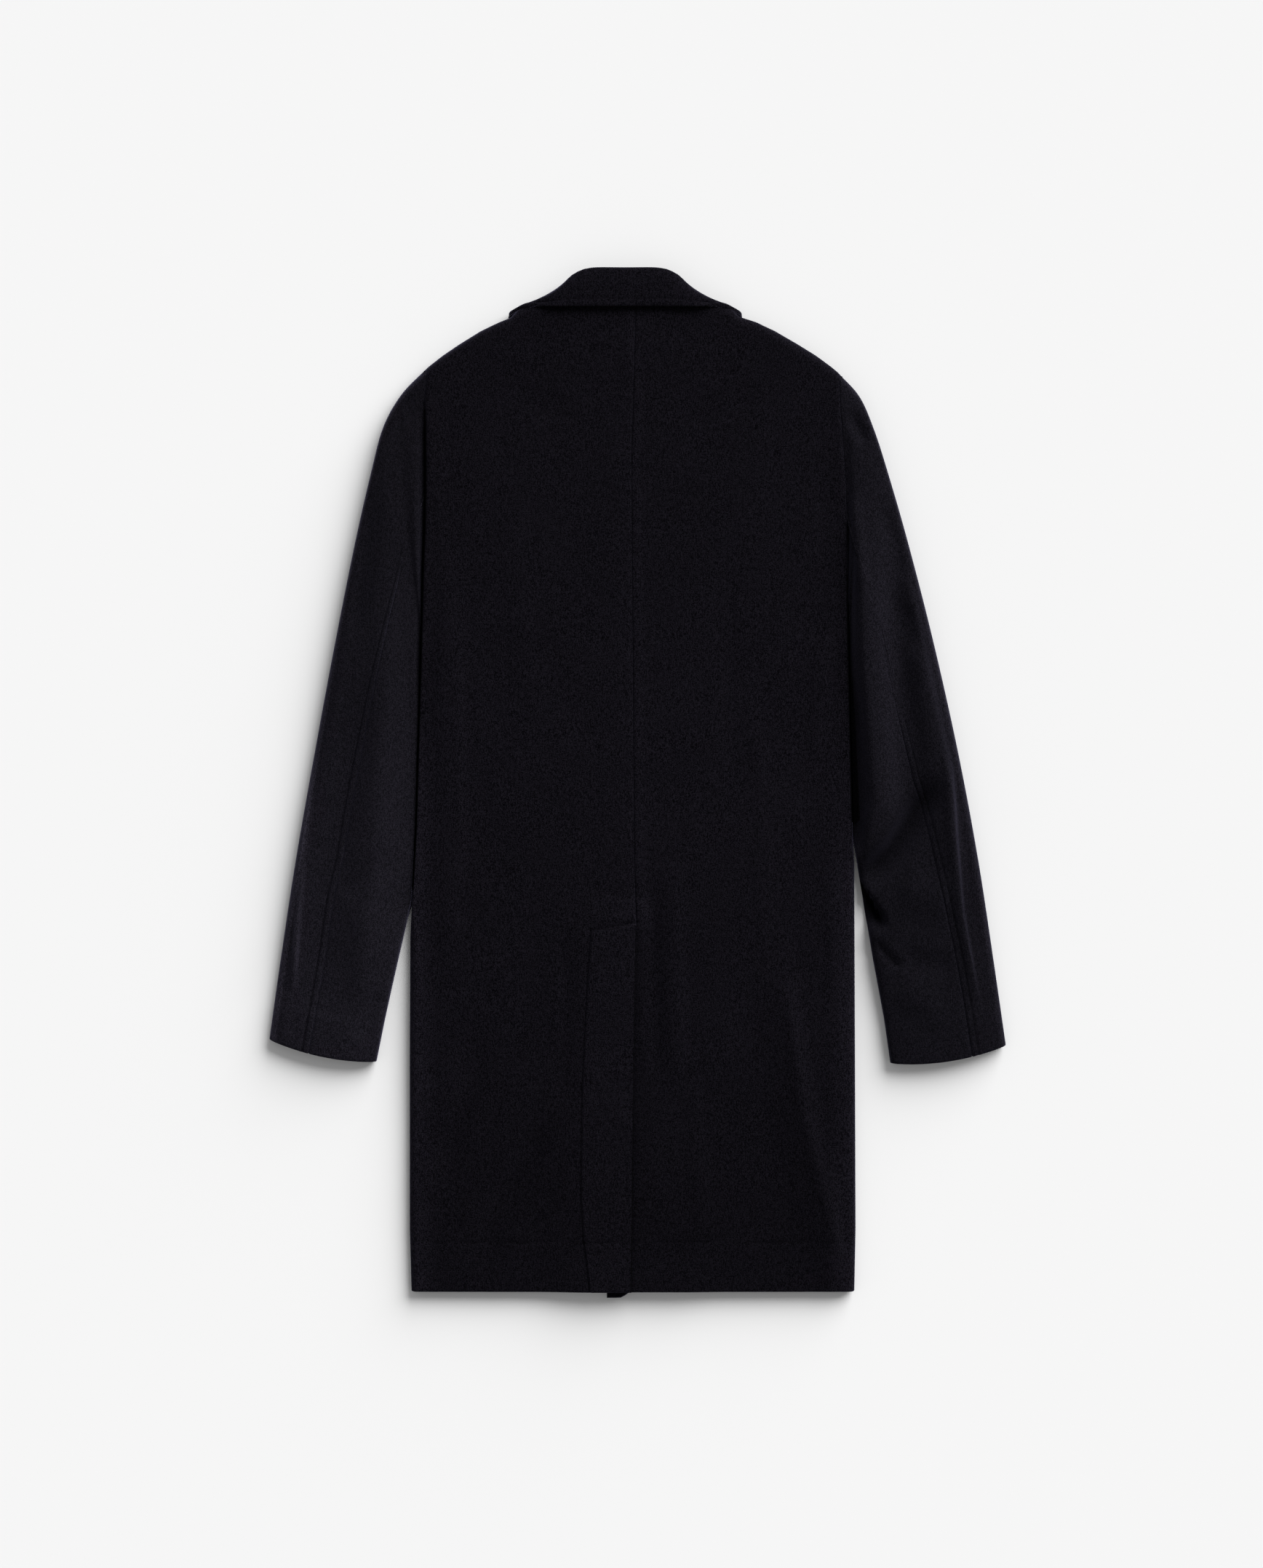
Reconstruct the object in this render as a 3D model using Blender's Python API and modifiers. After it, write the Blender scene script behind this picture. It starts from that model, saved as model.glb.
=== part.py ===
"""A wool overcoat laid flat on a table, its front down and its back up.

Frame: +Y towards the collar, +X to the wearer's right sleeve, +Z up, and the table at
z = 0. Sizes are in millimetres from the centre-back line (x) and from the hem (up);
every piece is moved to the row frame, in metres, when its mesh is made.
"""
import math
from bisect import bisect_right

import bmesh
import bpy
from mathutils import Vector

# ---------------------------------------------------------------- driving dimensions
MM = 0.001
NAME = "wool_overcoat"
ORIGIN_X = 4.1             # the middle of the cuff-to-cuff span, right of the centre back
ORIGIN_UP = 496.6          # the middle of the collar-to-hem length, above the hem

WALL = 3.0                 # coating wool, as sewn
COLLAR_WALL = 4.0          # two layers of it, with their canvas
SEAM = 0.3                 # clear air between two pieces sewn to each other
LAYER = 3.7                # from one cloth layer's face to the same face of the next
FRONT_LAYER = 4.8          # the same between the two fronts, which bend over buttons

UNDERARM = 649.6           # the underarm point above the hem
ARMHOLE_TOP = 902.0        # where the armhole meets the shoulder
SIDE_WRAP = 18.0           # how far the back wraps under the sides to the side seam
SIDE_ROLL = 7.0            # depth of the side's soft fold
SHOULDER_WRAP = 15.0       # how far the back wraps over the shoulder to its seam
SHOULDER_ROLL = 9.0
OVERLAP = 26.0             # each front passes the centre by this much
HEM_CORNER_DROP = 5.4      # the right front's corner hangs below the back's hem

NECK_CENTRE = -8.0         # the collar lies a little to the left
NECK_HALF = 80.0
NECK_BACK = 972.0          # the back neck seam above the hem, at the centre
NECK_DROP = 17.5           # and how much lower it is at the neck point

BREAK_UP = 780.0           # where the lapel starts to turn
GORGE_UP = 930.0           # where the lapel meets the collar, on the roll line
GORGE_HALF = 44.0          # from the neck's centre
LAPEL_WIDTH = 85.0
LAPEL_START = 9.0          # its width at the break
LAPEL_DIRECTION = (0.90, -0.43)
COLLAR_UNDER = 66.0        # the collar's width where it lies under the front

VENT_UP = 354.0            # top of the vent at its edge
VENT_SLANT = 8.0           # its top stitch rises by this to the centre
VENT_WIDTH = 46.0          # the underlap under the left back
VENT_CLEAR = 4.0           # the left back lifts this far above the underlap's top

BUTTONS = (520.0, 636.0, 752.0)
BUTTON_RADIUS = 14.0
BUTTON_THICKNESS = 2.6
BUTTON_CLEAR = 0.5           # under the front that it is sewn to
BUTTON_STEPS = 20

NAVY = (0.0062, 0.0056, 0.0088, 1.0)
BUTTON_NAVY = (0.006, 0.006, 0.009, 1.0)

# Half width of the body, from the centre back to each side's outer face.
SIDES = [  # up, left, right
    (0.0, 215.6, 214.6),
    (60.0, 217.3, 215.8),
    (230.0, 217.3, 215.2),
    (380.0, 216.6, 214.6),
    (453.0, 212.6, 214.2),
    (550.0, 209.9, 212.0),
    (649.6, 206.8, 209.6),
    (692.0, 205.9, 209.1),
    (749.0, 203.8, 208.4),
    (799.0, 203.1, 206.6),
    (846.0, 203.3, 203.0),
    (868.0, 204.0, 201.4),
    (902.0, 201.0, 200.9),
]

# The shoulder fold seen from above: its outer edge on each side.
SHOULDER_LEFT = [  # x, up
    (-201.0, 900.2), (-185.3, 912.4), (-169.7, 923.0), (-148.0, 936.5),
    (-130.0, 944.8), (-121.0, 948.3), (-110.0, 953.8), (-97.0, 960.0), (-88.0, 963.5),
]
SHOULDER_RIGHT = [
    (72.0, 963.5), (84.0, 958.0), (97.0, 952.5), (108.0, 948.5), (120.0, 944.8),
    (138.0, 936.5), (161.2, 923.0), (178.2, 912.4), (193.1, 901.4), (200.9, 894.8),
]

# Height of the back's outer face above the table.
LIE = [  # up, at the centre, at the sides
    (0.0, 11.5, 9.0),
    (60.0, 11.5, 9.5),
    (200.0, 12.0, 10.5),
    (380.0, 13.5, 11.5),
    (550.0, 16.5, 13.5),
    (650.0, 18.5, 15.0),
    (800.0, 19.5, 16.5),
    (900.0, 18.6, 17.2),
    (960.0, 18.0, 17.8),
    (1000.0, 18.0, 18.0),
]

# The centre-back line wanders a little from the neck to the hem.
CENTRE_SEAM = [  # up, x
    (0.0, -2.1), (92.0, -0.7), (224.0, 0.7), (355.0, 2.8),
    (421.0, 0.7), (618.0, -0.7), (815.0, -2.1), (955.0, 2.1),
]

# Soft folds of the back: a ridge (or a trough, below 0) along a line.
BACK_FOLDS = [  # name, x, up, to x, to up, height, half width
    ("right_hem_ridge", 152.0, 285.0, 206.0, 30.0, 2.6, 17.0),
    ("right_hem_hollow", 128.0, 235.0, 170.0, 20.0, -1.2, 18.0),
    ("vent_side_ridge", 38.0, 390.0, 41.0, 215.0, 1.3, 12.0),
    ("vent_side_hollow", 22.0, 380.0, 24.0, 225.0, -1.0, 10.0),
    ("left_hem_hollow_1", -92.0, 160.0, -150.0, 30.0, -1.4, 16.0),
    ("left_hem_hollow_2", -150.0, 250.0, -190.0, 120.0, -1.2, 15.0),
    ("left_side_swell", -186.0, 690.0, -184.0, 330.0, 1.4, 17.0),
    ("hem_middle_lift", -62.0, -2.0, 72.0, -2.0, 2.8, 26.0),
]

# Sleeves: a row for each station from the armhole to the cuff.
SLEEVES = {
    "left": [  # inner x, inner up, outer x, outer up, crest, inner fold, back seam
        (-207.1, 649.6, -201.3, 900.2, 17.5, 0.0, 0.57),    # armhole
        (-207.4, 641.1, -226.5, 874.7, 19.0, 1.5, 0.47),    # crown
        (-208.0, 628.4, -244.2, 842.8, 20.5, 3.0, 0.44),    # head
        (-208.6, 612.7, -255.6, 800.2, 21.5, 4.5, 0.45),    # under the head
        (-209.4, 575.1, -271.9, 727.8, 22.0, 6.0, 0.50),    # biceps
        (-211.6, 514.8, -291.8, 626.2, 22.0, 7.0, 0.57),    # upper arm
        (-214.2, 436.6, -311.7, 517.6, 21.0, 7.0, 0.63),    # elbow
        (-222.2, 360.0, -329.1, 417.5, 19.5, 6.5, 0.65),    # forearm
        (-236.4, 293.2, -344.0, 319.5, 17.5, 6.0, 0.64),    # wrist
        (-251.3, 224.4, -354.6, 245.7, 15.0, 5.0, 0.66),    # cuff
    ],
    "right": [
        (209.9, 649.6, 201.2, 894.8, 17.5, 0.0, 0.50),
        (210.1, 641.1, 220.8, 872.6, 19.0, 1.5, 0.44),
        (210.6, 628.4, 234.3, 842.1, 20.5, 3.0, 0.43),
        (211.4, 612.7, 247.8, 800.2, 21.5, 4.5, 0.45),
        (212.0, 575.1, 268.4, 727.8, 22.0, 6.0, 0.49),
        (214.0, 514.8, 293.9, 626.2, 22.5, 7.0, 0.54),
        (216.0, 436.6, 317.7, 517.6, 22.0, 7.0, 0.62),
        (230.4, 360.0, 336.2, 417.5, 19.5, 6.5, 0.67),
        (242.1, 293.2, 351.1, 319.5, 17.5, 6.0, 0.72),
        (251.3, 222.9, 362.8, 240.0, 15.0, 5.0, 0.74),
    ],
}
CUFF_BOW = {"left": 5.6, "right": 6.4}     # the cuff's edge bows away from the sleeve
FRONT_SEAM = 0.24                          # the hidden seam, near the inner edge
OUTER_ROLL = 9.0
OUTER_EDGE_SHARE = 0.80                    # of the crest's height, at each edge
SHOULDER_POINT_GAP = 2.4                   # the crown's wall slants in towards the body's

SLEEVE_FOLDS = [  # side, name, x, up, to x, to up, height, half width
    ("right", "elbow_hollow", 297.0, 500.0, 234.0, 404.0, -4.2, 20.0),
    ("right", "elbow_body", 226.0, 740.0, 262.0, 450.0, 2.6, 26.0),
    ("right", "elbow_nick", 226.0, 372.0, 246.0, 348.0, -5.0, 10.0),
    ("right", "wrist_nick", 248.0, 343.0, 258.0, 330.0, -2.4, 9.0),
    ("right", "outer_ridge", 312.0, 500.0, 332.0, 320.0, 2.0, 8.0),
    ("right", "inner_wrist", 238.0, 330.0, 282.0, 250.0, 1.4, 22.0),
    ("left", "inner_swell", -230.0, 620.0, -258.0, 300.0, 2.0, 24.0),
    ("left", "outer_ridge", -328.0, 455.0, -338.0, 300.0, 1.6, 9.0),
    ("left", "elbow_hollow", -262.0, 470.0, -300.0, 430.0, -1.6, 22.0),
]

# The collar, one half: a row for each section, from the centre back to its front end.
# Columns are the neck seam, the fold, the middle of the fall and the fall's edge, each
# as x from the neck's centre, up from the hem, and height of the wall's middle.
COLLAR = [
    ((0.0, 972.5, 16.0), (0.0, 997.0, 18.3), (0.0, 981.0, 21.2), (0.0, 963.2, 20.6)),
    ((30.0, 972.2, 16.0), (32.0, 996.7, 18.2), (38.0, 980.5, 21.0), (42.0, 963.0, 20.6)),
    ((52.0, 969.7, 15.8), (45.0, 991.8, 17.2), (58.5, 977.2, 20.0), (72.0, 962.8, 20.1)),
    ((67.5, 963.8, 15.0), (53.2, 984.0, 14.5), (72.0, 971.4, 17.0), (91.0, 963.4, 16.6)),
    ((76.5, 957.5, 11.0), (59.5, 977.3, 10.5), (83.5, 966.6, 11.0), (104.0, 958.8, 11.0)),
    ((76.5, 950.0, 8.0), (63.0, 969.6, 6.6), (88.0, 961.6, 4.3), (110.6, 952.6, 4.6)),
    ((69.0, 943.8, 6.7), (57.0, 957.5, 4.5), (83.0, 948.0, 2.1), (108.0, 940.0, 2.1)),
    ((57.0, 937.7, 6.7), (48.0, 946.0, 4.5), (75.0, 934.0, 2.1), (102.0, 924.0, 2.1)),
    ((45.0, 931.6, 6.7), (42.5, 936.8, 4.5), (68.0, 919.8, 2.1), (96.0, 906.2, 2.1)),
]
COLLAR_FOLD_RADIUS = 2.3


# ---------------------------------------------------------------- small helpers
def soft(t):
    """0 below 0, 1 above 1, and smooth between."""
    t = min(1.0, max(0.0, t))
    return t * t * (3.0 - 2.0 * t)


def mix(a, b, t):
    return a + (b - a) * t


def mix_rows(a, b, t):
    return [mix(p, q, t) for p, q in zip(a, b)]


def spline(rows, t):
    """A smooth curve through rows of numbers, read at the row number t."""
    k = min(len(rows) - 2, max(0, int(t)))
    u = t - k
    before = rows[k - 1] if k > 0 else mix_rows(rows[1], rows[0], 2.0)
    after = rows[k + 2] if k + 2 < len(rows) else mix_rows(rows[-2], rows[-1], 2.0)
    out = []
    for p0, p1, p2, p3 in zip(before, rows[k], rows[k + 1], after):
        out.append(0.5 * (2 * p1 + (p2 - p0) * u
                          + (2 * p0 - 5 * p1 + 4 * p2 - p3) * u * u
                          + (3 * p1 - p0 - 3 * p2 + p3) * u ** 3))
    return out


def reading(table, key):
    """The table's other columns where its first column is key, with soft joins."""
    keys = [row[0] for row in table]
    if key <= keys[0]:
        return table[0][1:]
    if key >= keys[-1]:
        return table[-1][1:]
    k = bisect_right(keys, key) - 1
    t = (key - keys[k]) / (keys[k + 1] - keys[k])
    return [mix(a, b, t) for a, b in zip(table[k][1:], table[k + 1][1:])]


def fold_height(x, up, x0, up0, x1, up1, height, half_width):
    """A soft ridge along a line, fading at both ends."""
    dx, dup = x1 - x0, up1 - up0
    length = math.hypot(dx, dup)
    along = ((x - x0) * dx + (up - up0) * dup) / length
    across = abs((x - x0) * dup - (up - up0) * dx) / length
    fade = 0.35 * length
    ends = soft((along + 0.5 * fade) / fade) * soft((length + 0.5 * fade - along) / fade)
    return height * ends * soft(1.0 - across / (1.6 * half_width))


def place(x, up, z):
    """A point of the coat, in the row frame, in metres."""
    return Vector(((x - ORIGIN_X) * MM, (up - ORIGIN_UP) * MM, z * MM))


# ---------------------------------------------------------------- the coat's surfaces
def side_half(side, up):
    left, right = reading(SIDES, up)
    return left if side < 0 else right


def shoulder_up(x):
    """The outer edge of the shoulder fold."""
    table = SHOULDER_LEFT if x < NECK_CENTRE else SHOULDER_RIGHT
    return reading(table, x)[0]


def armhole_x(side, up):
    """The body's edge at the armhole, which the back, the front and the sleeve follow."""
    top = shoulder_up(side * side_half(side, ARMHOLE_TOP)) - SHOULDER_ROLL
    return side * side_half(side, min(up, top))


def neck_up(x):
    """The back neck seam."""
    return NECK_BACK - NECK_DROP * (abs(x - NECK_CENTRE) / NECK_HALF) ** 4


def centre_seam(up):
    return reading(CENTRE_SEAM, up)[0]


def roll_line_x(side, up):
    """The lapel's roll line: the front's edge between the break and the gorge."""
    t = (up - BREAK_UP) / (GORGE_UP - BREAK_UP)
    return mix(-side * OVERLAP, NECK_CENTRE + side * GORGE_HALF, max(0.0, t))


def lapel_width(t):
    """Its width at t, 0 at the break and 1 at the gorge."""
    return LAPEL_START + (LAPEL_WIDTH - LAPEL_START) * min(1.0, max(0.0, t)) ** 0.85


def bed(side, x, up):
    """How far the lapel and the collar, which lie under the front, lift it."""
    out_x, out_up = side * LAPEL_DIRECTION[0], LAPEL_DIRECTION[1]
    edge_x = NECK_CENTRE + side * GORGE_HALF + side * OVERLAP
    rise = GORGE_UP - BREAK_UP
    from_x, from_up = x + side * OVERLAP, up - BREAK_UP
    det = edge_x * out_up - rise * out_x
    t = (from_x * out_up - from_up * out_x) / det
    w = (edge_x * from_up - rise * from_x) / det
    width = mix(lapel_width(t), COLLAR_UNDER, soft((t - 1.0) / 0.08))
    lift = mix(LAYER, COLLAR_WALL + 0.8, soft((t - 0.85) / 0.15))
    return lift * soft((t + 0.12) / 0.12) * soft((width + 20.0 - w) / 14.0)


def over_buttons(x, up):
    nearest = min(math.hypot(x, up - b) for b in BUTTONS)
    return (BUTTON_THICKNESS + BUTTON_CLEAR) * soft((BUTTON_RADIUS + 28.0 - nearest) / 20.0)


def left_front_under(x, up):
    return max(bed(-1, x, up), over_buttons(x, up))


def on_left_front(x, up):
    """The height that lies on the left front near its edge, and the table beyond."""
    edge = roll_line_x(-1, up) if up > BREAK_UP else OVERLAP
    return (left_front_under(min(x, edge), up) + FRONT_LAYER) * soft((edge + 25.0 - x) / 16.0)


def right_front_under(x, up):
    lapel = bed(1, x, up)
    return max(lapel, on_left_front(x, up) + lapel * soft((OVERLAP + 24.0 - x) / 20.0))


def front_under(side, x, up):
    return left_front_under(x, up) if side < 0 else right_front_under(x, up)


def lapel_under(side, x, up):
    return 0.0 if side < 0 else on_left_front(x, up)


def vent_step(x, up):
    """How far the left back is lifted over the vent's underlap."""
    top = VENT_UP - VENT_CLEAR - VENT_SLANT * (1.0 - (x + VENT_WIDTH) / VENT_WIDTH)
    return LAYER * soft((x + VENT_WIDTH + 19.0) / 16.0) * soft((top + 18.0 - up) / 16.0)


def back_top(side, x, up):
    """The height of the back's outer face."""
    centre, edge = reading(LIE, up)
    share = min(1.0, abs(x) / side_half(side, up))
    z = edge + (centre - edge) * (1.0 - share * share)
    inside = soft((1.0 - share) * 9.0)
    for _, x0, up0, x1, up1, height, half_width in BACK_FOLDS:
        z += inside * fold_height(x, up, x0, up0, x1, up1, height, half_width)
    if side < 0:
        z += vent_step(x, up)
    return z


# ---------------------------------------------------------------- making a piece
def material(name, colour, roughness):
    mat = bpy.data.materials.new(name)
    mat.use_nodes = True
    shader = mat.node_tree.nodes["Principled BSDF"]
    shader.inputs["Base Color"].default_value = colour
    shader.inputs["Roughness"].default_value = roughness
    shader.inputs["Metallic"].default_value = 0.0
    return mat


def wool(name):
    return material(name + "_wool", NAVY, 0.95)


def cloth(name, grid, wall, offset, collection):
    """A named piece from rows of points; a None in a row leaves its cells out."""
    bm = bmesh.new()
    made = [[None if p is None else bm.verts.new(place(*p)) for p in row] for row in grid]
    for low, high in zip(made, made[1:]):
        for k in range(len(low) - 1):
            corners = (low[k], low[k + 1], high[k + 1], high[k])
            if None not in corners:
                bm.faces.new(corners)
    bmesh.ops.delete(bm, geom=[v for v in bm.verts if not v.link_faces], context="VERTS")
    mesh = bpy.data.meshes.new(name)
    bm.to_mesh(mesh)
    bm.free()
    mesh.shade_smooth()
    piece = bpy.data.objects.new(name, mesh)
    collection.objects.link(piece)
    thick = piece.modifiers.new("wall", "SOLIDIFY")
    thick.thickness = wall * MM
    thick.offset = offset
    thick.use_even_offset = True
    thick.use_quality_normals = True
    mesh.materials.append(wool(name))
    return piece


# ---------------------------------------------------------------- the back
BODY_ROWS = (0.0, 12.0, 30.0, 56.0, 88.0, 122.0, 158.0, 194.0, 230.0, 266.0, 300.0, 330.0,
             347.0, 357.0, 370.0, 396.0, 436.0, 480.0, 524.0, 566.0, 604.0, 630.0, 649.3)
ARMHOLE_STEPS = 8
BACK_SHARES = (0.0, 0.075, 0.155, 0.235, 0.315, 0.405, 0.505, 0.605, 0.70, 0.79, 0.87,
               0.94, 1.0)
NECK_COLUMNS = 5
VENT_COLUMNS = (-VENT_WIDTH, -31.0, -15.0)
ROLL_ANGLES = (60.0, 28.0, -4.0, -36.0, -66.0, -90.0)


def side_roll(up):
    return SIDE_ROLL * soft((UNDERARM - up) / 90.0)


def back_piece(side, collection):
    """Half the back: its face, the fold at the side and the fold at the shoulder."""
    neck_x = NECK_CENTRE + side * NECK_HALF
    arm_x = side * side_half(side, ARMHOLE_TOP)
    grid = []

    def centre_edge(up):
        return centre_seam(up) + side * 0.5 * SEAM

    def start_x(up):
        if side < 0 and up < VENT_UP:
            return centre_seam(up)
        return centre_edge(up)

    for up in BODY_ROWS:
        roll = side_roll(up)
        half = side_half(side, up)
        edge_height = back_top(side, side * (half - roll), up)
        row = []
        for x in VENT_COLUMNS:
            lap = side > 0 and up < VENT_UP - 1.5 * VENT_CLEAR
            row.append((x, up, back_top(1, x, up)) if lap else None)
        for share in BACK_SHARES:
            x = mix(start_x(up), side * (half - roll), share)
            row.append((x, up, back_top(side, x, up)))
        for angle in ROLL_ANGLES:
            a = math.radians(angle)
            x = side * (half - roll + roll * math.cos(a))
            row.append((x, up, 0.5 * edge_height * (1.0 + math.sin(a))))
        row.append((side * (half - SIDE_WRAP), up, 0.0))
        grid.append(row)

    empty_sides = [None] * (len(ROLL_ANGLES) + 1)
    no_vent = [None] * len(VENT_COLUMNS)

    top_xs = shoulder_columns(side, neck_x, arm_x)
    for step in range(1, ARMHOLE_STEPS + 1):
        v = step / ARMHOLE_STEPS
        edge = armhole_x(side, mix(UNDERARM - SEAM, shoulder_up(arm_x) - SHOULDER_ROLL, v))
        row = []
        for k, (share, top_x) in enumerate(zip(BACK_SHARES, top_xs)):
            top = neck_up(top_x) if k < NECK_COLUMNS else shoulder_up(top_x) - SHOULDER_ROLL
            up = mix(UNDERARM - SEAM, top, v)
            top_share = (top_x - top_xs[0]) / (arm_x - top_xs[0])
            x = mix(start_x(up), edge, mix(share, top_share, soft(v)))
            row.append((x, up, back_top(side, x, up)))
        grid.append(no_vent + row + empty_sides)

    last = grid[-1][len(no_vent):len(no_vent) + len(BACK_SHARES)]
    for angle in ROLL_ANGLES:
        a = math.radians(angle)
        row = []
        for k, (x, up, z) in enumerate(last):
            if k < NECK_COLUMNS:
                row.append(None)
                continue
            under = bed(side, x, up)
            row.append((x, up + SHOULDER_ROLL * math.cos(a),
                        mix(under, z, 0.5 * (1.0 + math.sin(a)))))
        grid.append(no_vent + row + empty_sides)
    row = []
    for k, (x, up, z) in enumerate(last):
        low = up + SHOULDER_ROLL - SHOULDER_WRAP
        row.append((x, low, bed(side, x, low)) if k >= NECK_COLUMNS else None)
    grid.append(no_vent + row + empty_sides)
    if side > 0:
        grid = [list(reversed(row)) for row in grid]
    name = "back_left" if side < 0 else "back_right"
    return cloth(name, grid, WALL, 1.0, collection)


def shoulder_columns(side, neck_x, arm_x):
    """The columns' places along the neck and the shoulder, one on the neck point."""
    start = centre_seam(955.0) + side * 0.5 * SEAM
    first = [mix(start, neck_x, k / NECK_COLUMNS) for k in range(NECK_COLUMNS + 1)]
    rest = BACK_SHARES[NECK_COLUMNS:]
    span = rest[-1] - rest[0]
    return first[:-1] + [mix(neck_x, arm_x, (s - rest[0]) / span) for s in rest]


# ---------------------------------------------------------------- the fronts
FRONT_ROWS = (0.8, 12.0, 40.0, 110.0, 200.0, 290.0, 380.0, 450.0, 480.0, 500.0, 520.0,
              540.0, 560.0, 584.0, 604.0, 620.0, 636.0, 650.2)
FRONT_STEPS = 12
FRONT_NECK = (0.5, 1.0)
FRONT_LAPEL = (0.16, 0.32, 0.47, 0.61, 0.74, 0.87, 1.0)
LAPEL_BEND = (45.0, 0.0, -45.0, -90.0)
LAPEL_SHARES = (0.5, 1.0)
ARMHOLE_STRIP = SIDE_WRAP + 2.0 * SEAM


def front_piece(side, collection):
    """A front with its lapel turned back under it."""
    gorge_x = NECK_CENTRE + side * GORGE_HALF
    break_x = -side * OVERLAP
    neck_x = NECK_CENTRE + side * NECK_HALF
    arm_x = side * side_half(side, ARMHOLE_TOP)
    shoulder = shoulder_columns(side, neck_x, arm_x)[:NECK_COLUMNS - 1:-1]
    tops = shoulder[1:]
    seam_x = tops[0]
    tops += [mix(neck_x, gorge_x, s) for s in FRONT_NECK]
    tops += [mix(gorge_x, break_x, s) for s in FRONT_LAPEL]
    neck_low = shoulder_up(neck_x) - SHOULDER_WRAP - SEAM

    def top_up(x):
        if side * (x - neck_x) > -0.01:
            return shoulder_up(x) - SHOULDER_WRAP - SEAM
        if side * (x - gorge_x) > -0.01:
            return mix(neck_low, GORGE_UP, (x - neck_x) / (gorge_x - neck_x))
        return mix(GORGE_UP, BREAK_UP, (x - gorge_x) / (break_x - gorge_x))

    def middle(x, up):
        return x, up, front_under(side, x, up) + 0.5 * WALL

    shares = [(x - seam_x) / (break_x - seam_x) for x in tops]
    grid = []
    for up in FRONT_ROWS:
        edge = side * (side_half(side, up) - ARMHOLE_STRIP)
        strip = [middle(side * side_half(side, up), up)] if up > UNDERARM else [None]
        row = []
        for share in shares:
            x = mix(edge, break_x, share)
            drop = 0.0
            if side > 0 and up < 20.0:
                drop = (HEM_CORNER_DROP + up) * soft((2.0 - x) / 16.0) * (1.0 - up / 20.0)
            if side < 0 and up < 5.0 and x > 0.0:
                drop = -3.0
            row.append(middle(x, up - drop))
        grid.append(strip + row)

    base = FRONT_ROWS[-1]
    for step in range(1, FRONT_STEPS + 1):
        v = step / FRONT_STEPS
        level = mix(base, top_up(arm_x), v)
        arm = armhole_x(side, mix(base, shoulder_up(arm_x) - SHOULDER_ROLL, v))
        edge = arm - side * ARMHOLE_STRIP
        row = [middle(arm, level)]
        for x_top, share in zip(tops, shares):
            x = mix(mix(edge, break_x, share), x_top, soft(v))
            row.append(middle(x, mix(base, top_up(x_top), v)))
        grid.append(row)

    first = len(grid[-1]) - len(FRONT_LAPEL) - 1
    last = grid[-1]
    out_x, out_up = side * LAPEL_DIRECTION[0], LAPEL_DIRECTION[1]
    lapel_rows = [[None] * first for _ in LAPEL_BEND + LAPEL_SHARES]
    for x, up, z in last[first:]:
        t = (up - BREAK_UP) / (GORGE_UP - BREAK_UP)
        low = lapel_under(side, x, up) + 0.5 * WALL
        radius = 0.5 * (z - low)
        for k, angle in enumerate(LAPEL_BEND):
            a = math.radians(angle)
            reach = -radius * math.cos(a)
            lapel_rows[k].append((x + reach * out_x, up + reach * out_up,
                                  low + radius * (1.0 + math.sin(a))))
        for k, share in enumerate(LAPEL_SHARES):
            w = share * lapel_width(t)
            px, pup = x + w * out_x, up + w * out_up
            lapel_rows[len(LAPEL_BEND) + k].append(
                (px, pup, lapel_under(side, px, pup) + 0.5 * WALL))
    grid += lapel_rows
    if side < 0:
        grid = [list(reversed(row)) for row in grid]
    name = "front_left" if side < 0 else "front_right"
    return cloth(name, grid, WALL, 0.0, collection)


# ---------------------------------------------------------------- the sleeves
SLEEVE_SECTIONS = (0.0, 0.35, 0.7, 1.1, 1.6, 2.2, 2.8, 3.4, 4.0, 4.5, 5.0, 5.45, 5.9, 6.25,
                   6.6, 6.9, 7.2, 7.6, 8.0, 8.5, 9.0)
TOP_COLUMNS = 5
UNDER_COLUMNS = 6
NOSE_ANGLES = (60.0, 30.0, 0.0, -30.0, -60.0, -90.0)


def sleeve_frame(name, t):
    """One section's ends, crest, inner fold and back seam, at the station t."""
    side = -1 if name == "left" else 1
    ix, iup, ox, oup, crest, inner_roll, seam = spline(SLEEVES[name], t)
    if iup < UNDERARM:
        ix = side * max(abs(ix), side_half(side, iup) + SEAM)
    return side, ix, iup, ox, oup, crest, inner_roll, seam


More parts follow.
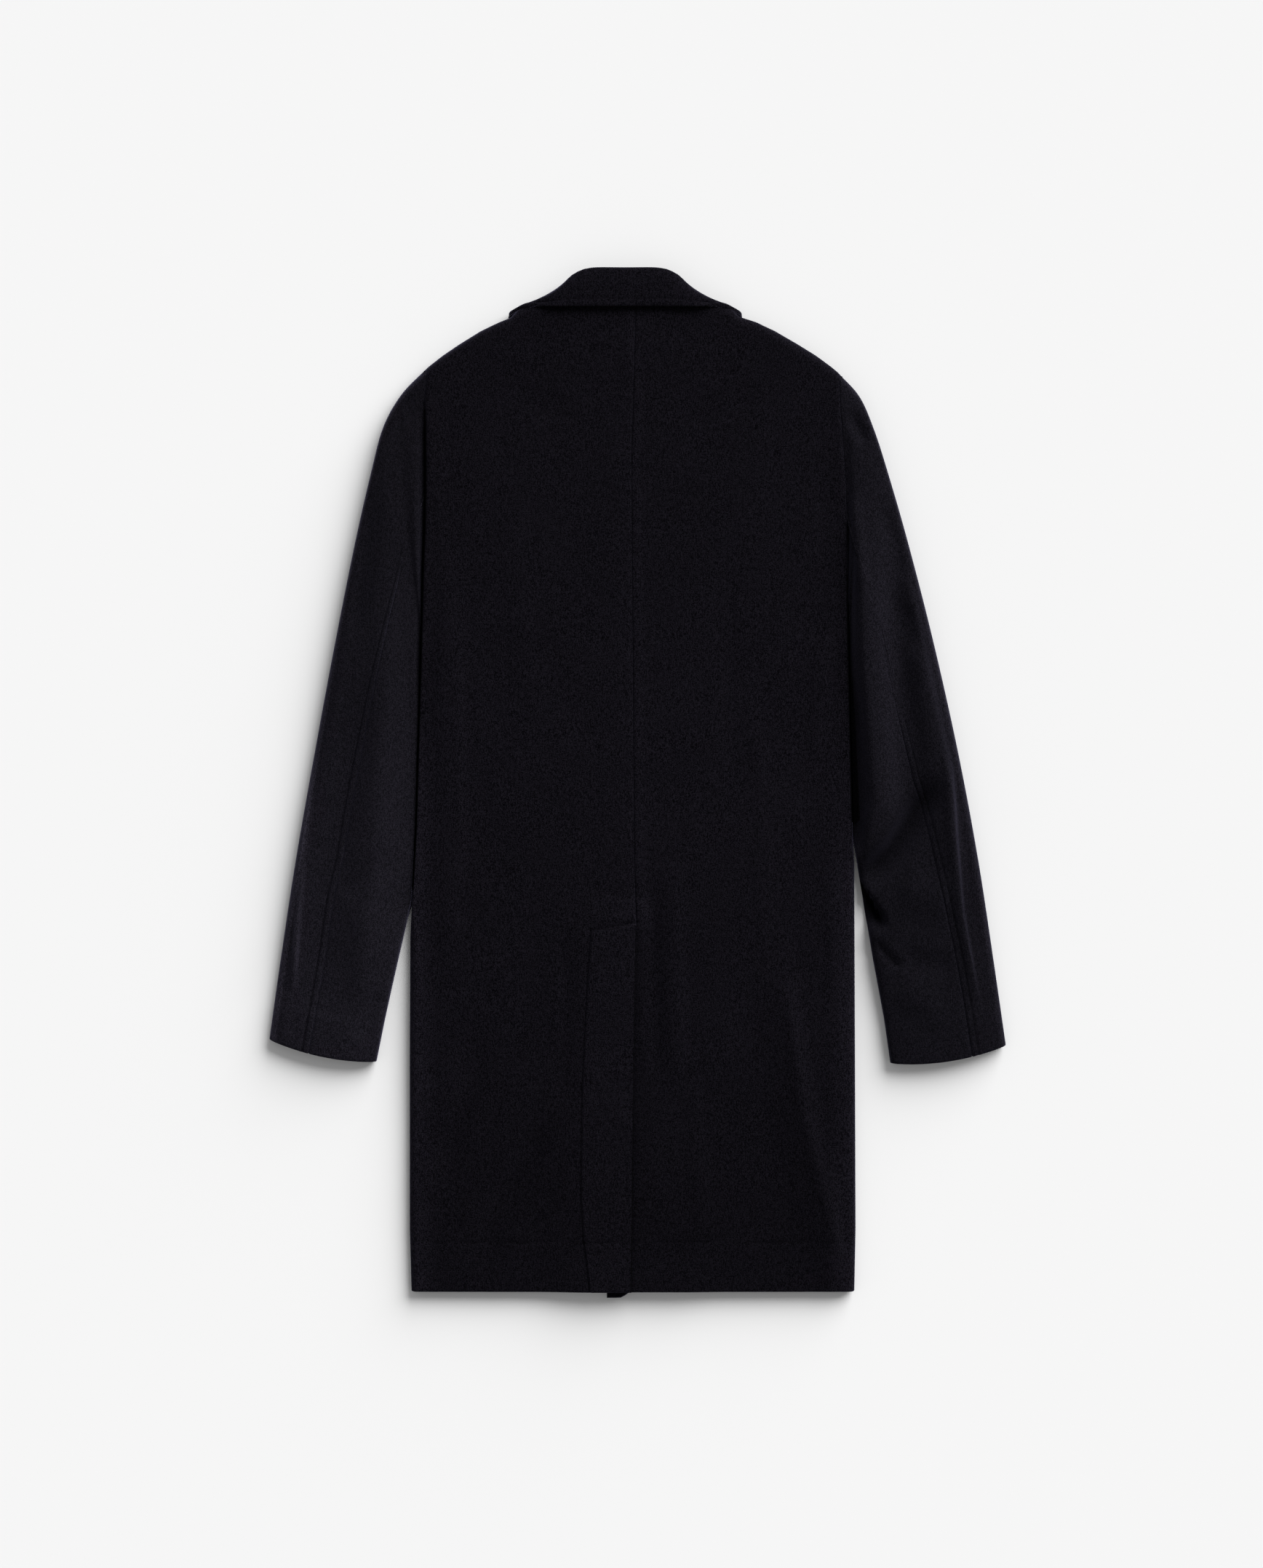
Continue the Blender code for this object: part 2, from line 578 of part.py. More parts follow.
def sleeve_point(name, t, place_on):
    """A point of a sleeve: place_on is ('top' | 'bottom', share) or ('inner' | 'outer',
    angle), and shares run from the inner edge's fold to the outer edge's."""
    side, ix, iup, ox, oup, crest, inner_roll, _ = sleeve_frame(name, t)
    width = math.hypot(ox - ix, oup - iup)
    inner_roll = max(0.0, inner_roll)
    outer_roll = min(OUTER_ROLL, 0.4 * width)
    kind, value = place_on
    if kind in ("top", "bottom"):
        along = mix(inner_roll, width - outer_roll, value)
    elif kind == "inner":
        along = inner_roll - inner_roll * math.cos(math.radians(value))
    else:
        along = width - outer_roll + outer_roll * math.cos(math.radians(value))

    def plan(a):
        share = a / width
        x, up = mix(ix, ox, share), mix(iup, oup, share)
        bow = 4.0 * share * (1.0 - share) * CUFF_BOW[name] * soft((t - 7.5) / 1.5)
        up -= bow
        at_armhole = soft(1.0 - t / 0.9)
        clear = SEAM + SHOULDER_POINT_GAP * soft((share - 0.78) / 0.14)
        x += at_armhole * (armhole_x(side, up) + side * clear - mix(ix, ox, share))
        return x, up

    def top(a):
        x, up = plan(a)
        share = min(1.0, max(0.0, (a - inner_roll) / (width - inner_roll - outer_roll)))
        dome = OUTER_EDGE_SHARE + (1.0 - OUTER_EDGE_SHARE) * math.sin(math.pi * share) ** 0.7
        own = crest * dome
        inside = soft(8.0 * share) * soft(8.0 * (1.0 - share))
        for where, _, x0, up0, x1, up1, height, half_width in SLEEVE_FOLDS:
            if where == name:
                own += inside * fold_height(x, up, x0, up0, x1, up1, height, half_width)
        body = back_top(side, side * side_half(side, up), up)
        return mix(own, body, soft(1.0 - t / 1.1))

    x, up = plan(along)
    if kind == "top":
        return x, up, top(along)
    if kind == "bottom":
        return x, up, 0.0
    edge = top(inner_roll if kind == "inner" else width - outer_roll)
    return x, up, 0.5 * edge * (1.0 + math.sin(math.radians(value)))


def sleeve_piece(name, part, collection):
    """The top sleeve wraps the outer edge, the under sleeve the inner one."""
    side = -1 if name == "left" else 1
    grid = []
    for t in SLEEVE_SECTIONS:
        _, ix, iup, ox, oup, _, inner_roll, seam = sleeve_frame(name, t)
        width = math.hypot(ox - ix, oup - iup)
        gap = SEAM * (1.0 + 2.2 * soft(1.0 - t)) / width
        row = []
        if part == "top":
            start = seam + gap
            for k in range(TOP_COLUMNS + 1):
                row.append(("top", mix(start, 1.0, k / TOP_COLUMNS)))
            row += [("outer", angle) for angle in NOSE_ANGLES]
            for k in range(1, UNDER_COLUMNS + 1):
                row.append(("bottom", mix(1.0, FRONT_SEAM + gap, k / UNDER_COLUMNS)))
        else:
            start = seam - gap
            for k in range(UNDER_COLUMNS + 1):
                row.append(("top", mix(start, 0.0, k / UNDER_COLUMNS)))
            row += [("inner", angle) for angle in NOSE_ANGLES]
            for k in range(1, 4):
                row.append(("bottom", mix(0.0, FRONT_SEAM - gap, k / 3)))
        grid.append([sleeve_point(name, t, where) for where in row])
    flip = (part == "top") == (side < 0)
    if flip:
        grid = [list(reversed(row)) for row in grid]
    return cloth("sleeve_%s_%s" % (name, part), grid, WALL, 1.0, collection)


# ---------------------------------------------------------------- the collar
COLLAR_SECTIONS = (0.0, 1.0, 1.6, 2.1, 2.6, 3.1, 3.6, 4.1, 4.6, 5.1, 5.6, 6.2, 7.0, 8.0)
STAND_SHARES = (0.0, 0.35, 0.7)
FALL_SHARES = (0.25, 0.5, 0.75, 1.0)
FOLD_ANGLES = (-90.0, -60.0, -30.0, 0.0, 30.0, 60.0, 90.0)


def collar_section(t):
    """The points of one section, from the neck seam over the fold to the fall's edge."""
    flat = [[c for point in row for c in point] for row in COLLAR]
    numbers = spline(flat, t)
    neck, fold, fall, edge = (Vector(numbers[k:k + 3]) for k in (0, 3, 6, 9))
    outward = (fold - 0.5 * (neck + fall)).normalized()
    across = fall - neck
    across = (across - outward * across.dot(outward)).normalized()
    centre = fold - outward * COLLAR_FOLD_RADIUS
    low = centre - across * COLLAR_FOLD_RADIUS
    high = centre + across * COLLAR_FOLD_RADIUS
    points = [neck.lerp(low, s) for s in STAND_SHARES]
    for angle in FOLD_ANGLES:
        a = math.radians(angle)
        points.append(centre + (outward * math.cos(a) + across * math.sin(a))
                      * COLLAR_FOLD_RADIUS)
    for s in FALL_SHARES:
        bulge = fall - 0.5 * (high + edge)
        points.append(high.lerp(edge, s) + bulge * 4.0 * s * (1.0 - s))
    return points


def collar_piece(collection):
    halves = [(-1, t) for t in reversed(COLLAR_SECTIONS[1:])] + [(1, t) for t in COLLAR_SECTIONS]
    grid = []
    lowest = 0.5 * COLLAR_WALL + 0.1
    for side, t in halves:
        points = collar_section(t)
        grid.append([(NECK_CENTRE + side * p.x, p.y, max(lowest, p.z)) for p in points])
    return cloth("collar", grid, COLLAR_WALL, 0.0, collection)


# ---------------------------------------------------------------- the buttons
def button(number, up, collection):
    """A turned disc with a soft rim, lying face down under the left front."""
    rim = BUTTON_RADIUS
    profile = [(0.0, 0.5), (rim - 4.0, 0.5), (rim - 3.0, 0.0), (rim - 0.8, 0.0),
               (rim, 0.8), (rim, BUTTON_THICKNESS - 0.8), (rim - 0.8, BUTTON_THICKNESS),
               (0.0, BUTTON_THICKNESS)]
    mesh = bpy.data.meshes.new("button_%d" % number)
    points = [(r * MM, 0.0, z * MM) for r, z in reversed(profile)]
    mesh.from_pydata(points, [(k, k + 1) for k in range(len(points) - 1)], [])
    piece = bpy.data.objects.new("button_%d" % number, mesh)
    piece.location = place(0.0, up, 0.0)
    collection.objects.link(piece)
    turn = piece.modifiers.new("turn", "SCREW")
    turn.steps = BUTTON_STEPS
    turn.render_steps = BUTTON_STEPS
    turn.use_merge_vertices = True
    turn.merge_threshold = 0.00001
    mesh.materials.append(material("button_%d_horn" % number, BUTTON_NAVY, 0.45))
    return piece


# ---------------------------------------------------------------- the whole coat
def main():
    for old in list(bpy.data.objects):
        bpy.data.objects.remove(old, do_unlink=True)
    collection = bpy.data.collections.new(NAME)
    bpy.context.scene.collection.children.link(collection)
    for side in (-1, 1):
        back_piece(side, collection)
        front_piece(side, collection)
    for name in ("left", "right"):
        for part in ("top", "under"):
            sleeve_piece(name, part, collection)
    collar_piece(collection)
    for number, up in enumerate(BUTTONS, start=1):
        button(number, up, collection)


main()
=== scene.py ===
"""The look of a dark navy wool overcoat that lies flat, its back up, on a pale surface.

Each panel of the frame is replaced by a thin shell of cloth on the same form, with the
seams, stitching and folds that the solids leave out. The buttons keep their own meshes.
Sizes are in millimetres from the centre-back line (x) and from the hem (up), as in the
solids, and every point is moved to the row frame, in metres, when its mesh is made.
"""
import math
from bisect import bisect_right

import bpy
import numpy as np
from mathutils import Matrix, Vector, noise


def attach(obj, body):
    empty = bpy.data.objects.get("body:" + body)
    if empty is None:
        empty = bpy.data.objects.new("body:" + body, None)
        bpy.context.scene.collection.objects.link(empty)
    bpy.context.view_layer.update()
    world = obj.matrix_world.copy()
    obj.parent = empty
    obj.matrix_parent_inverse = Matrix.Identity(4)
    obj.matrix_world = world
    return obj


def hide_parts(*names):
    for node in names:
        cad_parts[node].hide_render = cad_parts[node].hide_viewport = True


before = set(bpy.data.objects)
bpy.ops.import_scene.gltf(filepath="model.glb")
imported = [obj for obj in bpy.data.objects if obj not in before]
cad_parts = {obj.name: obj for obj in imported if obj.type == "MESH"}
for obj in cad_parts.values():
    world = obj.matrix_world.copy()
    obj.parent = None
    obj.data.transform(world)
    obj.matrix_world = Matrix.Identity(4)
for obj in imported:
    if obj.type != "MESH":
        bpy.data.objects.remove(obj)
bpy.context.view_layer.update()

# ---- sizes: the solids' own, apart from those that say otherwise
MM = 0.001
ORIGIN_X = 4.1
ORIGIN_UP = 496.6
WALL = 3.0
COLLAR_WALL = 4.0
LAYER = 3.7
FRONT_LAYER = 4.8
UNDERARM = 649.6
ARMHOLE_TOP = 902.0
SIDE_WRAP = 18.0
SIDE_ROLL = 7.0
TOUCHING_ROLL = 1.0  # the cloth's, where the sleeve lies against the body
SHOULDER_WRAP = 15.0
SHOULDER_ROLL = 9.0
OVERLAP = 26.0
HEM_CORNER_DROP = 7.6  # 2.2 more than the solid's
NECK_CENTRE = -8.0
NECK_HALF = 80.0
NECK_BACK = 972.0
NECK_DROP = 12.5  # 5 less than the solids', where the collar hides it
BREAK_UP = 780.0
GORGE_UP = 930.0
GORGE_HALF = 44.0
LAPEL_WIDTH = 85.0
LAPEL_START = 9.0
LAPEL_DIRECTION = (0.90, -0.43)
COLLAR_UNDER = 66.0
VENT_UP = 354.0
VENT_WIDTH = 46.0
BUTTONS = (520.0, 636.0, 752.0)
BUTTON_RADIUS = 14.0
BUTTON_THICKNESS = 2.6
BUTTON_CLEAR = 0.5
FULLER = 2.6  # how much thicker than the solids the body's lower part is,
FULL_UP, THIN_UP = 260.0, 520.0  # in full below the one, none above the other
UNDER_COLLAR = 5.0  # how much further the shoulder goes, where the collar hides it
ABOVE_ARM = 250.0  # about the length of the body above the underarm
NECK_SEAM_UP = 955.0  # where the centre seam meets the collar's
LAP_IN = 1.6  # from the vent's pressed line to the underlap's edge

SIDES = [  # up, left, right half widths
    (0.0, 215.6, 214.6), (60.0, 217.3, 215.8), (230.0, 217.3, 215.2), (380.0, 216.6, 214.6),
    (453.0, 212.6, 214.2), (550.0, 209.9, 212.0), (649.6, 206.8, 209.6), (692.0, 205.9, 209.1),
    (749.0, 203.8, 208.4), (799.0, 203.1, 206.6), (846.0, 203.3, 203.0), (868.0, 204.0, 201.4),
    (902.0, 201.0, 200.9),
]
SHOULDER_LEFT = [  # x, up
    (-201.0, 900.2), (-185.3, 912.4), (-169.7, 923.0), (-148.0, 936.5),
    (-130.0, 944.8), (-121.0, 948.3), (-110.0, 953.8), (-97.0, 960.0), (-88.0, 963.5),
]
SHOULDER_RIGHT = [
    (72.0, 963.5), (84.0, 958.0), (97.0, 952.5), (108.0, 948.5), (120.0, 944.8),
    (138.0, 936.5), (161.2, 923.0), (178.2, 912.4), (193.1, 901.4), (200.9, 894.8),
]
LIE = [  # up, height of the back's face at the centre, at the sides
    (0.0, 11.5, 9.0), (60.0, 11.5, 9.5), (200.0, 12.0, 10.5), (380.0, 13.5, 11.5),
    (550.0, 16.5, 13.5), (650.0, 18.5, 15.0), (800.0, 19.5, 16.5), (900.0, 18.6, 17.2),
    (960.0, 18.0, 17.8), (1000.0, 18.0, 18.0),
]
CENTRE_SEAM = [  # up, x
    (0.0, -2.1), (92.0, -0.7), (224.0, 0.7), (355.0, 2.8),
    (421.0, 0.7), (618.0, -0.7), (815.0, -2.1), (955.0, 2.1),
]
SLEEVES = {  # inner x, inner up, outer x, outer up, crest, inner fold, back seam
    "left": [
        (-207.1, 649.6, -201.3, 900.2, 17.5, 0.0, 0.57),
        (-207.4, 641.1, -226.5, 874.7, 19.0, 1.5, 0.47),
        (-208.0, 628.4, -244.2, 842.8, 20.5, 3.0, 0.44),
        (-208.6, 612.7, -255.6, 800.2, 21.5, 4.5, 0.45),
        (-209.4, 575.1, -271.9, 727.8, 22.0, 6.0, 0.50),
        (-211.6, 514.8, -291.8, 626.2, 22.0, 7.0, 0.57),
        (-214.2, 436.6, -311.7, 517.6, 21.0, 7.0, 0.63),
        (-222.2, 360.0, -329.1, 417.5, 19.5, 6.5, 0.65),
        (-236.4, 293.2, -344.0, 319.5, 17.5, 6.0, 0.64),
        (-251.3, 224.4, -354.6, 245.7, 15.0, 5.0, 0.66),
    ],
    "right": [
        (209.9, 649.6, 201.2, 894.8, 17.5, 0.0, 0.50),
        (210.1, 641.1, 220.8, 872.6, 19.0, 1.5, 0.44),
        (210.6, 628.4, 234.3, 842.1, 20.5, 3.0, 0.43),
        (211.4, 612.7, 247.8, 800.2, 21.5, 4.5, 0.45),
        (212.0, 575.1, 268.4, 727.8, 22.0, 6.0, 0.49),
        (214.0, 514.8, 293.9, 626.2, 22.5, 7.0, 0.54),
        (216.0, 436.6, 317.7, 517.6, 22.0, 7.0, 0.62),
        (230.4, 360.0, 336.2, 417.5, 19.5, 6.5, 0.67),
        (242.1, 293.2, 351.1, 319.5, 17.5, 6.0, 0.72),
        (251.3, 222.9, 362.8, 240.0, 15.0, 5.0, 0.74),
    ],
}
CUFF_BOW = {"left": 5.6, "right": 6.4}
INNER_EDGES = {  # up, half width of the sleeve's inner edge; it lies against the body above
    "left": [(224.4, 251.3), (266.0, 242.8), (323.0, 230.0), (381.0, 216.6)],
    "right": [(222.9, 251.3), (266.0, 245.0), (323.0, 234.3), (453.0, 212.6)],
}
NAP_OUT = 1.5  # how far the cloth's nap stands out beyond the solids' outline
SHARPER = 0.15  # of the solids' rounding, where the inner fold touches the body
CREVICE = 0.5  # between the body's edge and the sleeve's, at the top
CLOSED = 1.6  # how much further the sleeve's lower half goes, under the body's
SLEEVE_PAINTED_LIGHT = {"left": (1.80, 1.05), "right": (1.13, 1.42)}  # painted light: how light the sleeve is made at the cuff, at the head
OUTER_PAINTED_HIGHLIGHT = {"left": 2.1, "right": 1.35}  # painted highlight along the outer edge: how much lighter it is there
SAG = {  # of the sleeve to the crevice: up, drop, breadth
    "left": [(0.0, 1.4, 44.0), (1000.0, 1.4, 44.0)],
    "right": [(560.0, 2.4, 15.0), (620.0, 1.6, 8.0)],
}
CREVICE_PAINTED_SHADE = {  # up, how dark the painted shade is in the crevice beside the body, its reach over the sleeve
    "left": [(365.0, 0.0, 2.5), (395.0, 0.85, 2.8), (640.0, 0.85, 3.2), (840.0, 0.88, 3.0),
             (880.0, 0.2, 2.0)],
    "right": [(436.0, 0.0, 12.0), (460.0, 0.82, 16.0), (560.0, 0.82, 13.0), (605.0, 0.85, 5.0),
              (650.0, 0.80, 4.0), (720.0, 0.48, 3.0), (790.0, 0.15, 2.5), (880.0, 0.1, 2.0)],
}
PAINTED_SHADE_LIMIT = 0.45  # faces painted darker than this get the copy of the wool without sheen, which is more painted shade
FRONT_SEAM = 0.24
LOWEST = 4.4  # of a sleeve's upper face, where a fold is deepest
OUTER_ROLL = 7.5  # 1.5 less than the solids'
OUTER_EDGE_SHARE = 0.80
COLLAR = [  # half sections: neck seam, fold, middle of the fall, its edge
    ((0.0, 972.5, 16.0), (0.0, 997.0, 18.3), (0.0, 981.0, 21.2), (0.0, 963.2, 20.6)),
    ((30.0, 972.2, 16.0), (32.0, 996.7, 18.2), (38.0, 980.5, 21.0), (42.0, 963.0, 20.6)),
    ((52.0, 969.7, 15.8), (45.0, 991.8, 17.2), (58.5, 977.2, 20.0), (72.0, 962.8, 20.1)),
    ((67.5, 963.8, 15.0), (53.2, 984.0, 14.5), (72.0, 971.4, 17.0), (91.0, 963.4, 16.6)),
    ((76.5, 957.5, 11.0), (59.5, 977.3, 10.5), (83.5, 966.6, 11.0), (104.0, 958.8, 11.0)),
    ((76.5, 950.0, 8.0), (63.0, 969.6, 6.6), (88.0, 961.6, 4.3), (110.6, 952.6, 4.6)),
    ((69.0, 943.8, 6.7), (57.0, 957.5, 4.5), (83.0, 948.0, 2.1), (108.0, 940.0, 2.1)),
    ((57.0, 937.7, 6.7), (48.0, 946.0, 4.5), (75.0, 934.0, 2.1), (102.0, 924.0, 2.1)),
    ((45.0, 931.6, 6.7), (42.5, 936.8, 4.5), (68.0, 919.8, 2.1), (96.0, 906.2, 2.1)),
]
COLLAR_FOLD_RADIUS = 2.3
COLLAR_WIDER = 0.022  # than the half sections say

# ---- the cloth's own folds
# Each is a ridge, or a trough below 0: height, half width, and the line that it follows
# downwards. A third number before the line is the half width of its flank towards +x.
BACK_FOLDS = [
    (3.8, 26.0, 12.0, [(146, 310), (158, 225), (168, 165), (186, 95), (204, 20)]),
    (1.4, 9.0, 3.0, [(154, 280), (161, 222), (169, 168), (186, 98), (203, 40)]),
    (2.1, 13.0, 9.0, [(39, 400), (43, 210)]),
    (-1.7, 6.0, 9.0, [(17, 385), (20, 225)]),
    (-3.6, 16.0, [(-92, 160), (-150, 30)]),
    (-3.0, 15.0, [(-150, 250), (-190, 120)]),
    (2.4, 12.0, [(-172, 200), (-208, 90)]),
    (1.2, 16.0, [(-96, 215), (-120, 120)]),
    (2.4, 15.0, [(-184, 690), (-182, 330)]),
    (2.8, 26.0, [(-62, -2), (72, -2)]),
    (1.0, 7.0, [(-112, 205), (-168, 70)]),
    (1.2, 9.0, [(-196, 850), (-190, 700)]),
    (1.0, 6.0, [(-172, 620), (-170, 420)]),
    (1.0, 9.0, [(120, 560), (128, 330)]),
    (-1.0, 8.0, [(-66, 345), (-68, 190)]),
    (0.9, 9.0, [(60, 200), (66, 60)]),
    (0.7, 5.0, [(-4, 958), (-7, 890)]),
    (0.7, 5.0, [(13, 955), (15, 900)]),
    (-1.0, 14.0, [(-120, 880), (-60, 850)]),
    (-1.0, 14.0, [(110, 880), (60, 845)]),
    (1.5, 9.0, [(186, 640), (176, 520)]),
    (-1.2, 12.0, [(188, 812), (186, 700)]),
    (0.9, 12.0, [(-120, 760), (-100, 560)]),
    (-0.9, 12.0, [(90, 700), (96, 500)]),
    (1.0, 12.0, [(198, 420), (203, 210)]),
]
SLEEVE_FOLDS = {
    "right": [
        (-9.0, 11.0, 16.0, [(288, 490), (270, 456), (250, 428), (226, 406)]),
        (6.5, 7.0, 19.0, [(221, 730), (225, 620), (231, 540), (236, 479), (229, 440)]),
        (-4.0, 14.0, 13.0, [(256, 700), (260, 610), (267, 530), (268, 470)]),
        (5.0, 15.0, 9.0, [(274, 700), (283, 610), (298, 540), (306, 480), (312, 400)]),
        (-11.0, 11.0, 4.0, [(212, 406), (228, 383), (243, 360)]),
        (-3.2, 6.0, 2.4, [(239, 340), (250, 328), (261, 318)]),
        (3.0, 20.0, [(264, 394), (306, 380)]),
        (-2.6, 12.0, [(266, 324), (308, 316)]),
        (2.0, 14.0, [(262, 296), (300, 268)]),
        (-2.6, 10.0, [(264, 668), (280, 622)]),
        (3.8, 8.0, 2.4, [(309, 540), (313, 451), (320, 371), (333, 300)]),
        (3.0, 5.0, 2.2, [(317, 530), (334, 421), (348, 325)]),
        (2.4, 8.0, [(212, 770), (222, 690)]),
        (-4.0, 7.0, [(211, 854), (228, 831)]),
        (-2.0, 9.0, [(246, 760), (262, 700)]),
        (2.2, 9.0, [(296, 690), (312, 560)]),
    ],
    "left": [
        (4.2, 22.0, [(-226, 640), (-244, 500), (-262, 300)]),
        (6.6, 9.0, 3.2, [(-312, 505), (-319, 452), (-324.5, 405), (-328.5, 360), (-331, 315)]),
        (2.2, 6.0, 8.0, [(-343, 290), (-347, 250)]),
        (-3.4, 18.0, [(-270, 560), (-300, 400), (-308, 300)]),
        (-3.2, 4.5, [(-207, 874), (-223, 859)]),
        (-2.8, 5.0, [(-207, 861), (-231, 846)]),
        (1.8, 5.0, [(-207, 867), (-226, 852)]),
        (-2.4, 11.0, [(-256, 770), (-272, 650)]),
        (2.0, 9.0, [(-222, 560), (-226, 470)]),
        (-2.6, 12.0, [(-236, 425), (-278, 388)]),
        (2.0, 11.0, [(-262, 372), (-268, 290)]),
        (-2.0, 9.0, [(-250, 290), (-268, 250)]),
        (1.8, 10.0, [(-280, 720), (-296, 560)]),
    ],
}
SLEEVE_PAINTED_LINES = {  # lines along which painted highlight, or painted shade below 0, goes into the colour, given as the folds are
    "right": [
        (-0.56, 13.0, 15.0, [(284, 492), (266, 458), (247, 433), (226, 409)]),
        (-0.92, 6.0, 3.4, [(217, 404), (230, 383), (244, 360)]),
        (-0.30, 3.2, 2.2, [(241, 338), (250, 328), (260, 319)]),
        (0.20, 20.0, 20.0, [(238, 700), (244, 600), (251, 520), (246, 462)]),
    ],
    "left": [
        (0.85, 2.6, 3.2, [(-313, 510), (-320, 452), (-325, 405), (-328.5, 360), (-330.5, 312)]),
    ],
}
VENT_LINE = [  # up, x of the pressed line along the underlap
    (0.0, -42.0), (7.0, -42.6), (53.0, -48.3), (92.0, -50.6),
    (191.0, -49.7), (290.0, -44.9), (352.0, -40.8),
]
VENT_STITCH = ((-40.8, 352.2), (3.2, 360.2))  # the slanted stitching across its top
VENT_FACING = ((-42.0, 18.0), (360.0, 385.0))  # pressed through above it: x and up
HEM_TURN = 47.0
CUFF_TURN = 40.0
CUFF_UP = 262.0  # no seam's edge is below this on a sleeve, only the cuff's
LAST_ROW, LAST_ROW_LENGTH = 9.0, 72.0  # of a sleeve
HEAD_TURNED_UP = 13.0  # a sleeve's head is turned in where its face is higher
TOPSTITCH = 6.5  # beside the sleeves' back seams
SEAM_SEEN = {"left": 2.2, "right": 4.6}  # the row below which that stitching shows
SEAM_FROM = {"left": 800.0, "right": 560.0}  # and its height
ARMHOLE_LAP = 0.1  # the sleeve's edge goes in under the body's
ARMHOLE_SEEN = 880.0  # no dip shows at the armhole's seam above this
ARMHOLE_DIP = {"left": 3.2, "right": 1.5}  # how far the sleeve dips to the seam below it
HEM_RIM, SEAM_RIM, FOLD_RIM = 1.35, 0.7, 1.3  # how round an edge of the cloth is
NAMES = {-1: "left", 1: "right"}
SIDE_OF = {"left": -1, "right": 1}

STEP = 3.3  # size of the cloth's grid


# ---- small helpers
def soft(t):
    """0 below 0, 1 above 1, and smooth between."""
    t = min(1.0, max(0.0, t))
    return t * t * (3.0 - 2.0 * t)


def within(x, low, high, blur):
    """1 from low to high, falling softly to 0 just inside both."""
    return soft((x - low) / blur) * soft((high - x) / blur)


def mix(a, b, t):
    return a + (b - a) * t


def mix_rows(a, b, t):
    return [mix(p, q, t) for p, q in zip(a, b)]


def spline(rows, t):
    """A smooth curve through rows of numbers, read at the row number t."""
    k = min(len(rows) - 2, max(0, int(t)))
    u = t - k
    before = rows[k - 1] if k > 0 else mix_rows(rows[1], rows[0], 2.0)
    after = rows[k + 2] if k + 2 < len(rows) else mix_rows(rows[-2], rows[-1], 2.0)
    out = []
    for p0, p1, p2, p3 in zip(before, rows[k], rows[k + 1], after):
        out.append(0.5 * (2 * p1 + (p2 - p0) * u
                          + (2 * p0 - 5 * p1 + 4 * p2 - p3) * u * u
                          + (3 * p1 - p0 - 3 * p2 + p3) * u ** 3))
    return out


KEYS = {}


def reading(table, key):
    """The table's other columns where its first column is key."""
    keys = KEYS.get(id(table))
    if keys is None:
        keys = KEYS[id(table)] = [row[0] for row in table]
    if key <= keys[0]:
        return table[0][1:]
    if key >= keys[-1]:
        return table[-1][1:]
    k = bisect_right(keys, key) - 1
    t = (key - keys[k]) / (keys[k + 1] - keys[k])
    return [mix(a, b, t) for a, b in zip(table[k][1:], table[k + 1][1:])]


def steps(lengths, size):
    """Numbers from 0 to len(lengths), about size apart where each interval has its length."""
    out = []
    for k, length in enumerate(lengths):
        n = max(1, round(length / size))
        out += [k + i / n for i in range(n)]
    return out + [float(len(lengths))]


def fold_height(x, up, fold):
    """A soft ridge or trough along its line, fading at both ends."""
    height, half_width, line = fold[0], fold[1], fold[-1]
    flank = fold[2] if len(fold) == 4 else half_width
    reach = 1.6 * max(half_width, flank)
    xs = [p[0] for p in line]
    ups = [p[1] for p in line]
    margin = reach + 0.2 * (abs(xs[-1] - xs[0]) + abs(ups[-1] - ups[0]))
    if not (min(xs) - margin < x < max(xs) + margin):
        return 0.0
    if not (min(ups) - margin < up < max(ups) + margin):
        return 0.0
    total = sum(math.dist(a, b) for a, b in zip(line, line[1:]))
    best, along, run = None, 0.0, 0.0
    last = len(line) - 2
    for k, (a, b) in enumerate(zip(line, line[1:])):
        dx, dup = b[0] - a[0], b[1] - a[1]
        length = math.hypot(dx, dup)
        t = ((x - a[0]) * dx + (up - a[1]) * dup) / (length * length)
        low = -9.0 if k == 0 else 0.0
        high = 9.0 if k == last else 1.0
        clipped = min(high, max(low, t))
        d = math.hypot(x - a[0] - clipped * dx, up - a[1] - clipped * dup)
        if best is None or d < best:
            best, along = d, run + clipped * length
            beyond = dx * (up - a[1]) - dup * (x - a[0]) > 0.0
        run += length
    fade = 0.35 * total
    ends = soft((along + 0.5 * fade) / fade) * soft((total + 0.5 * fade - along) / fade)
    return height * ends * soft(1.0 - best / (1.6 * (flank if beyond else half_width)))


def wander(a, b, key):
    return noise.noise(Vector((a, b, key)))


def ripple(x, up, key):
    """The cloth is never quite flat: broad swells, small ones, and a little of the grain."""
    z = 0.34 * wander(x / 46.0, up / 64.0, key)
    z += 0.14 * wander(x / 17.0, up / 26.0, key + 7.0)
    z += 0.05 * wander(x / 5.5, up / 12.0, key + 19.0)
    return z


def groove(d, depth, half_width):
    return -depth * math.exp(-(d / half_width) ** 2)


def even(start, end, size):
    n = max(1, round(abs(end - start) / size))
    return [mix(start, end, k / n) for k in range(n + 1)]


# ---- the coat's surfaces
def side_half(side, up):
    left, right = reading(SIDES, up)
    return left if side < 0 else right


def shoulder_up(x):
    table = SHOULDER_LEFT if x < NECK_CENTRE else SHOULDER_RIGHT
    hidden = soft((112.0 - abs(x - NECK_CENTRE)) / 10.0)
    return reading(table, x)[0] + NAP_OUT + UNDER_COLLAR * hidden


def armhole_x(side, up):
    top = shoulder_up(side * side_half(side, ARMHOLE_TOP)) - SHOULDER_ROLL
    return side * side_half(side, min(up, top))


def apex_up(name):
    """Where the inner edge of a sleeve comes to lie against the body."""
    return INNER_EDGES[name][-1][0]


def neck_up(x):
    return NECK_BACK - NECK_DROP * (abs(x - NECK_CENTRE) / NECK_HALF) ** 6


def centre_seam(up):
    return reading(CENTRE_SEAM, up)[0]


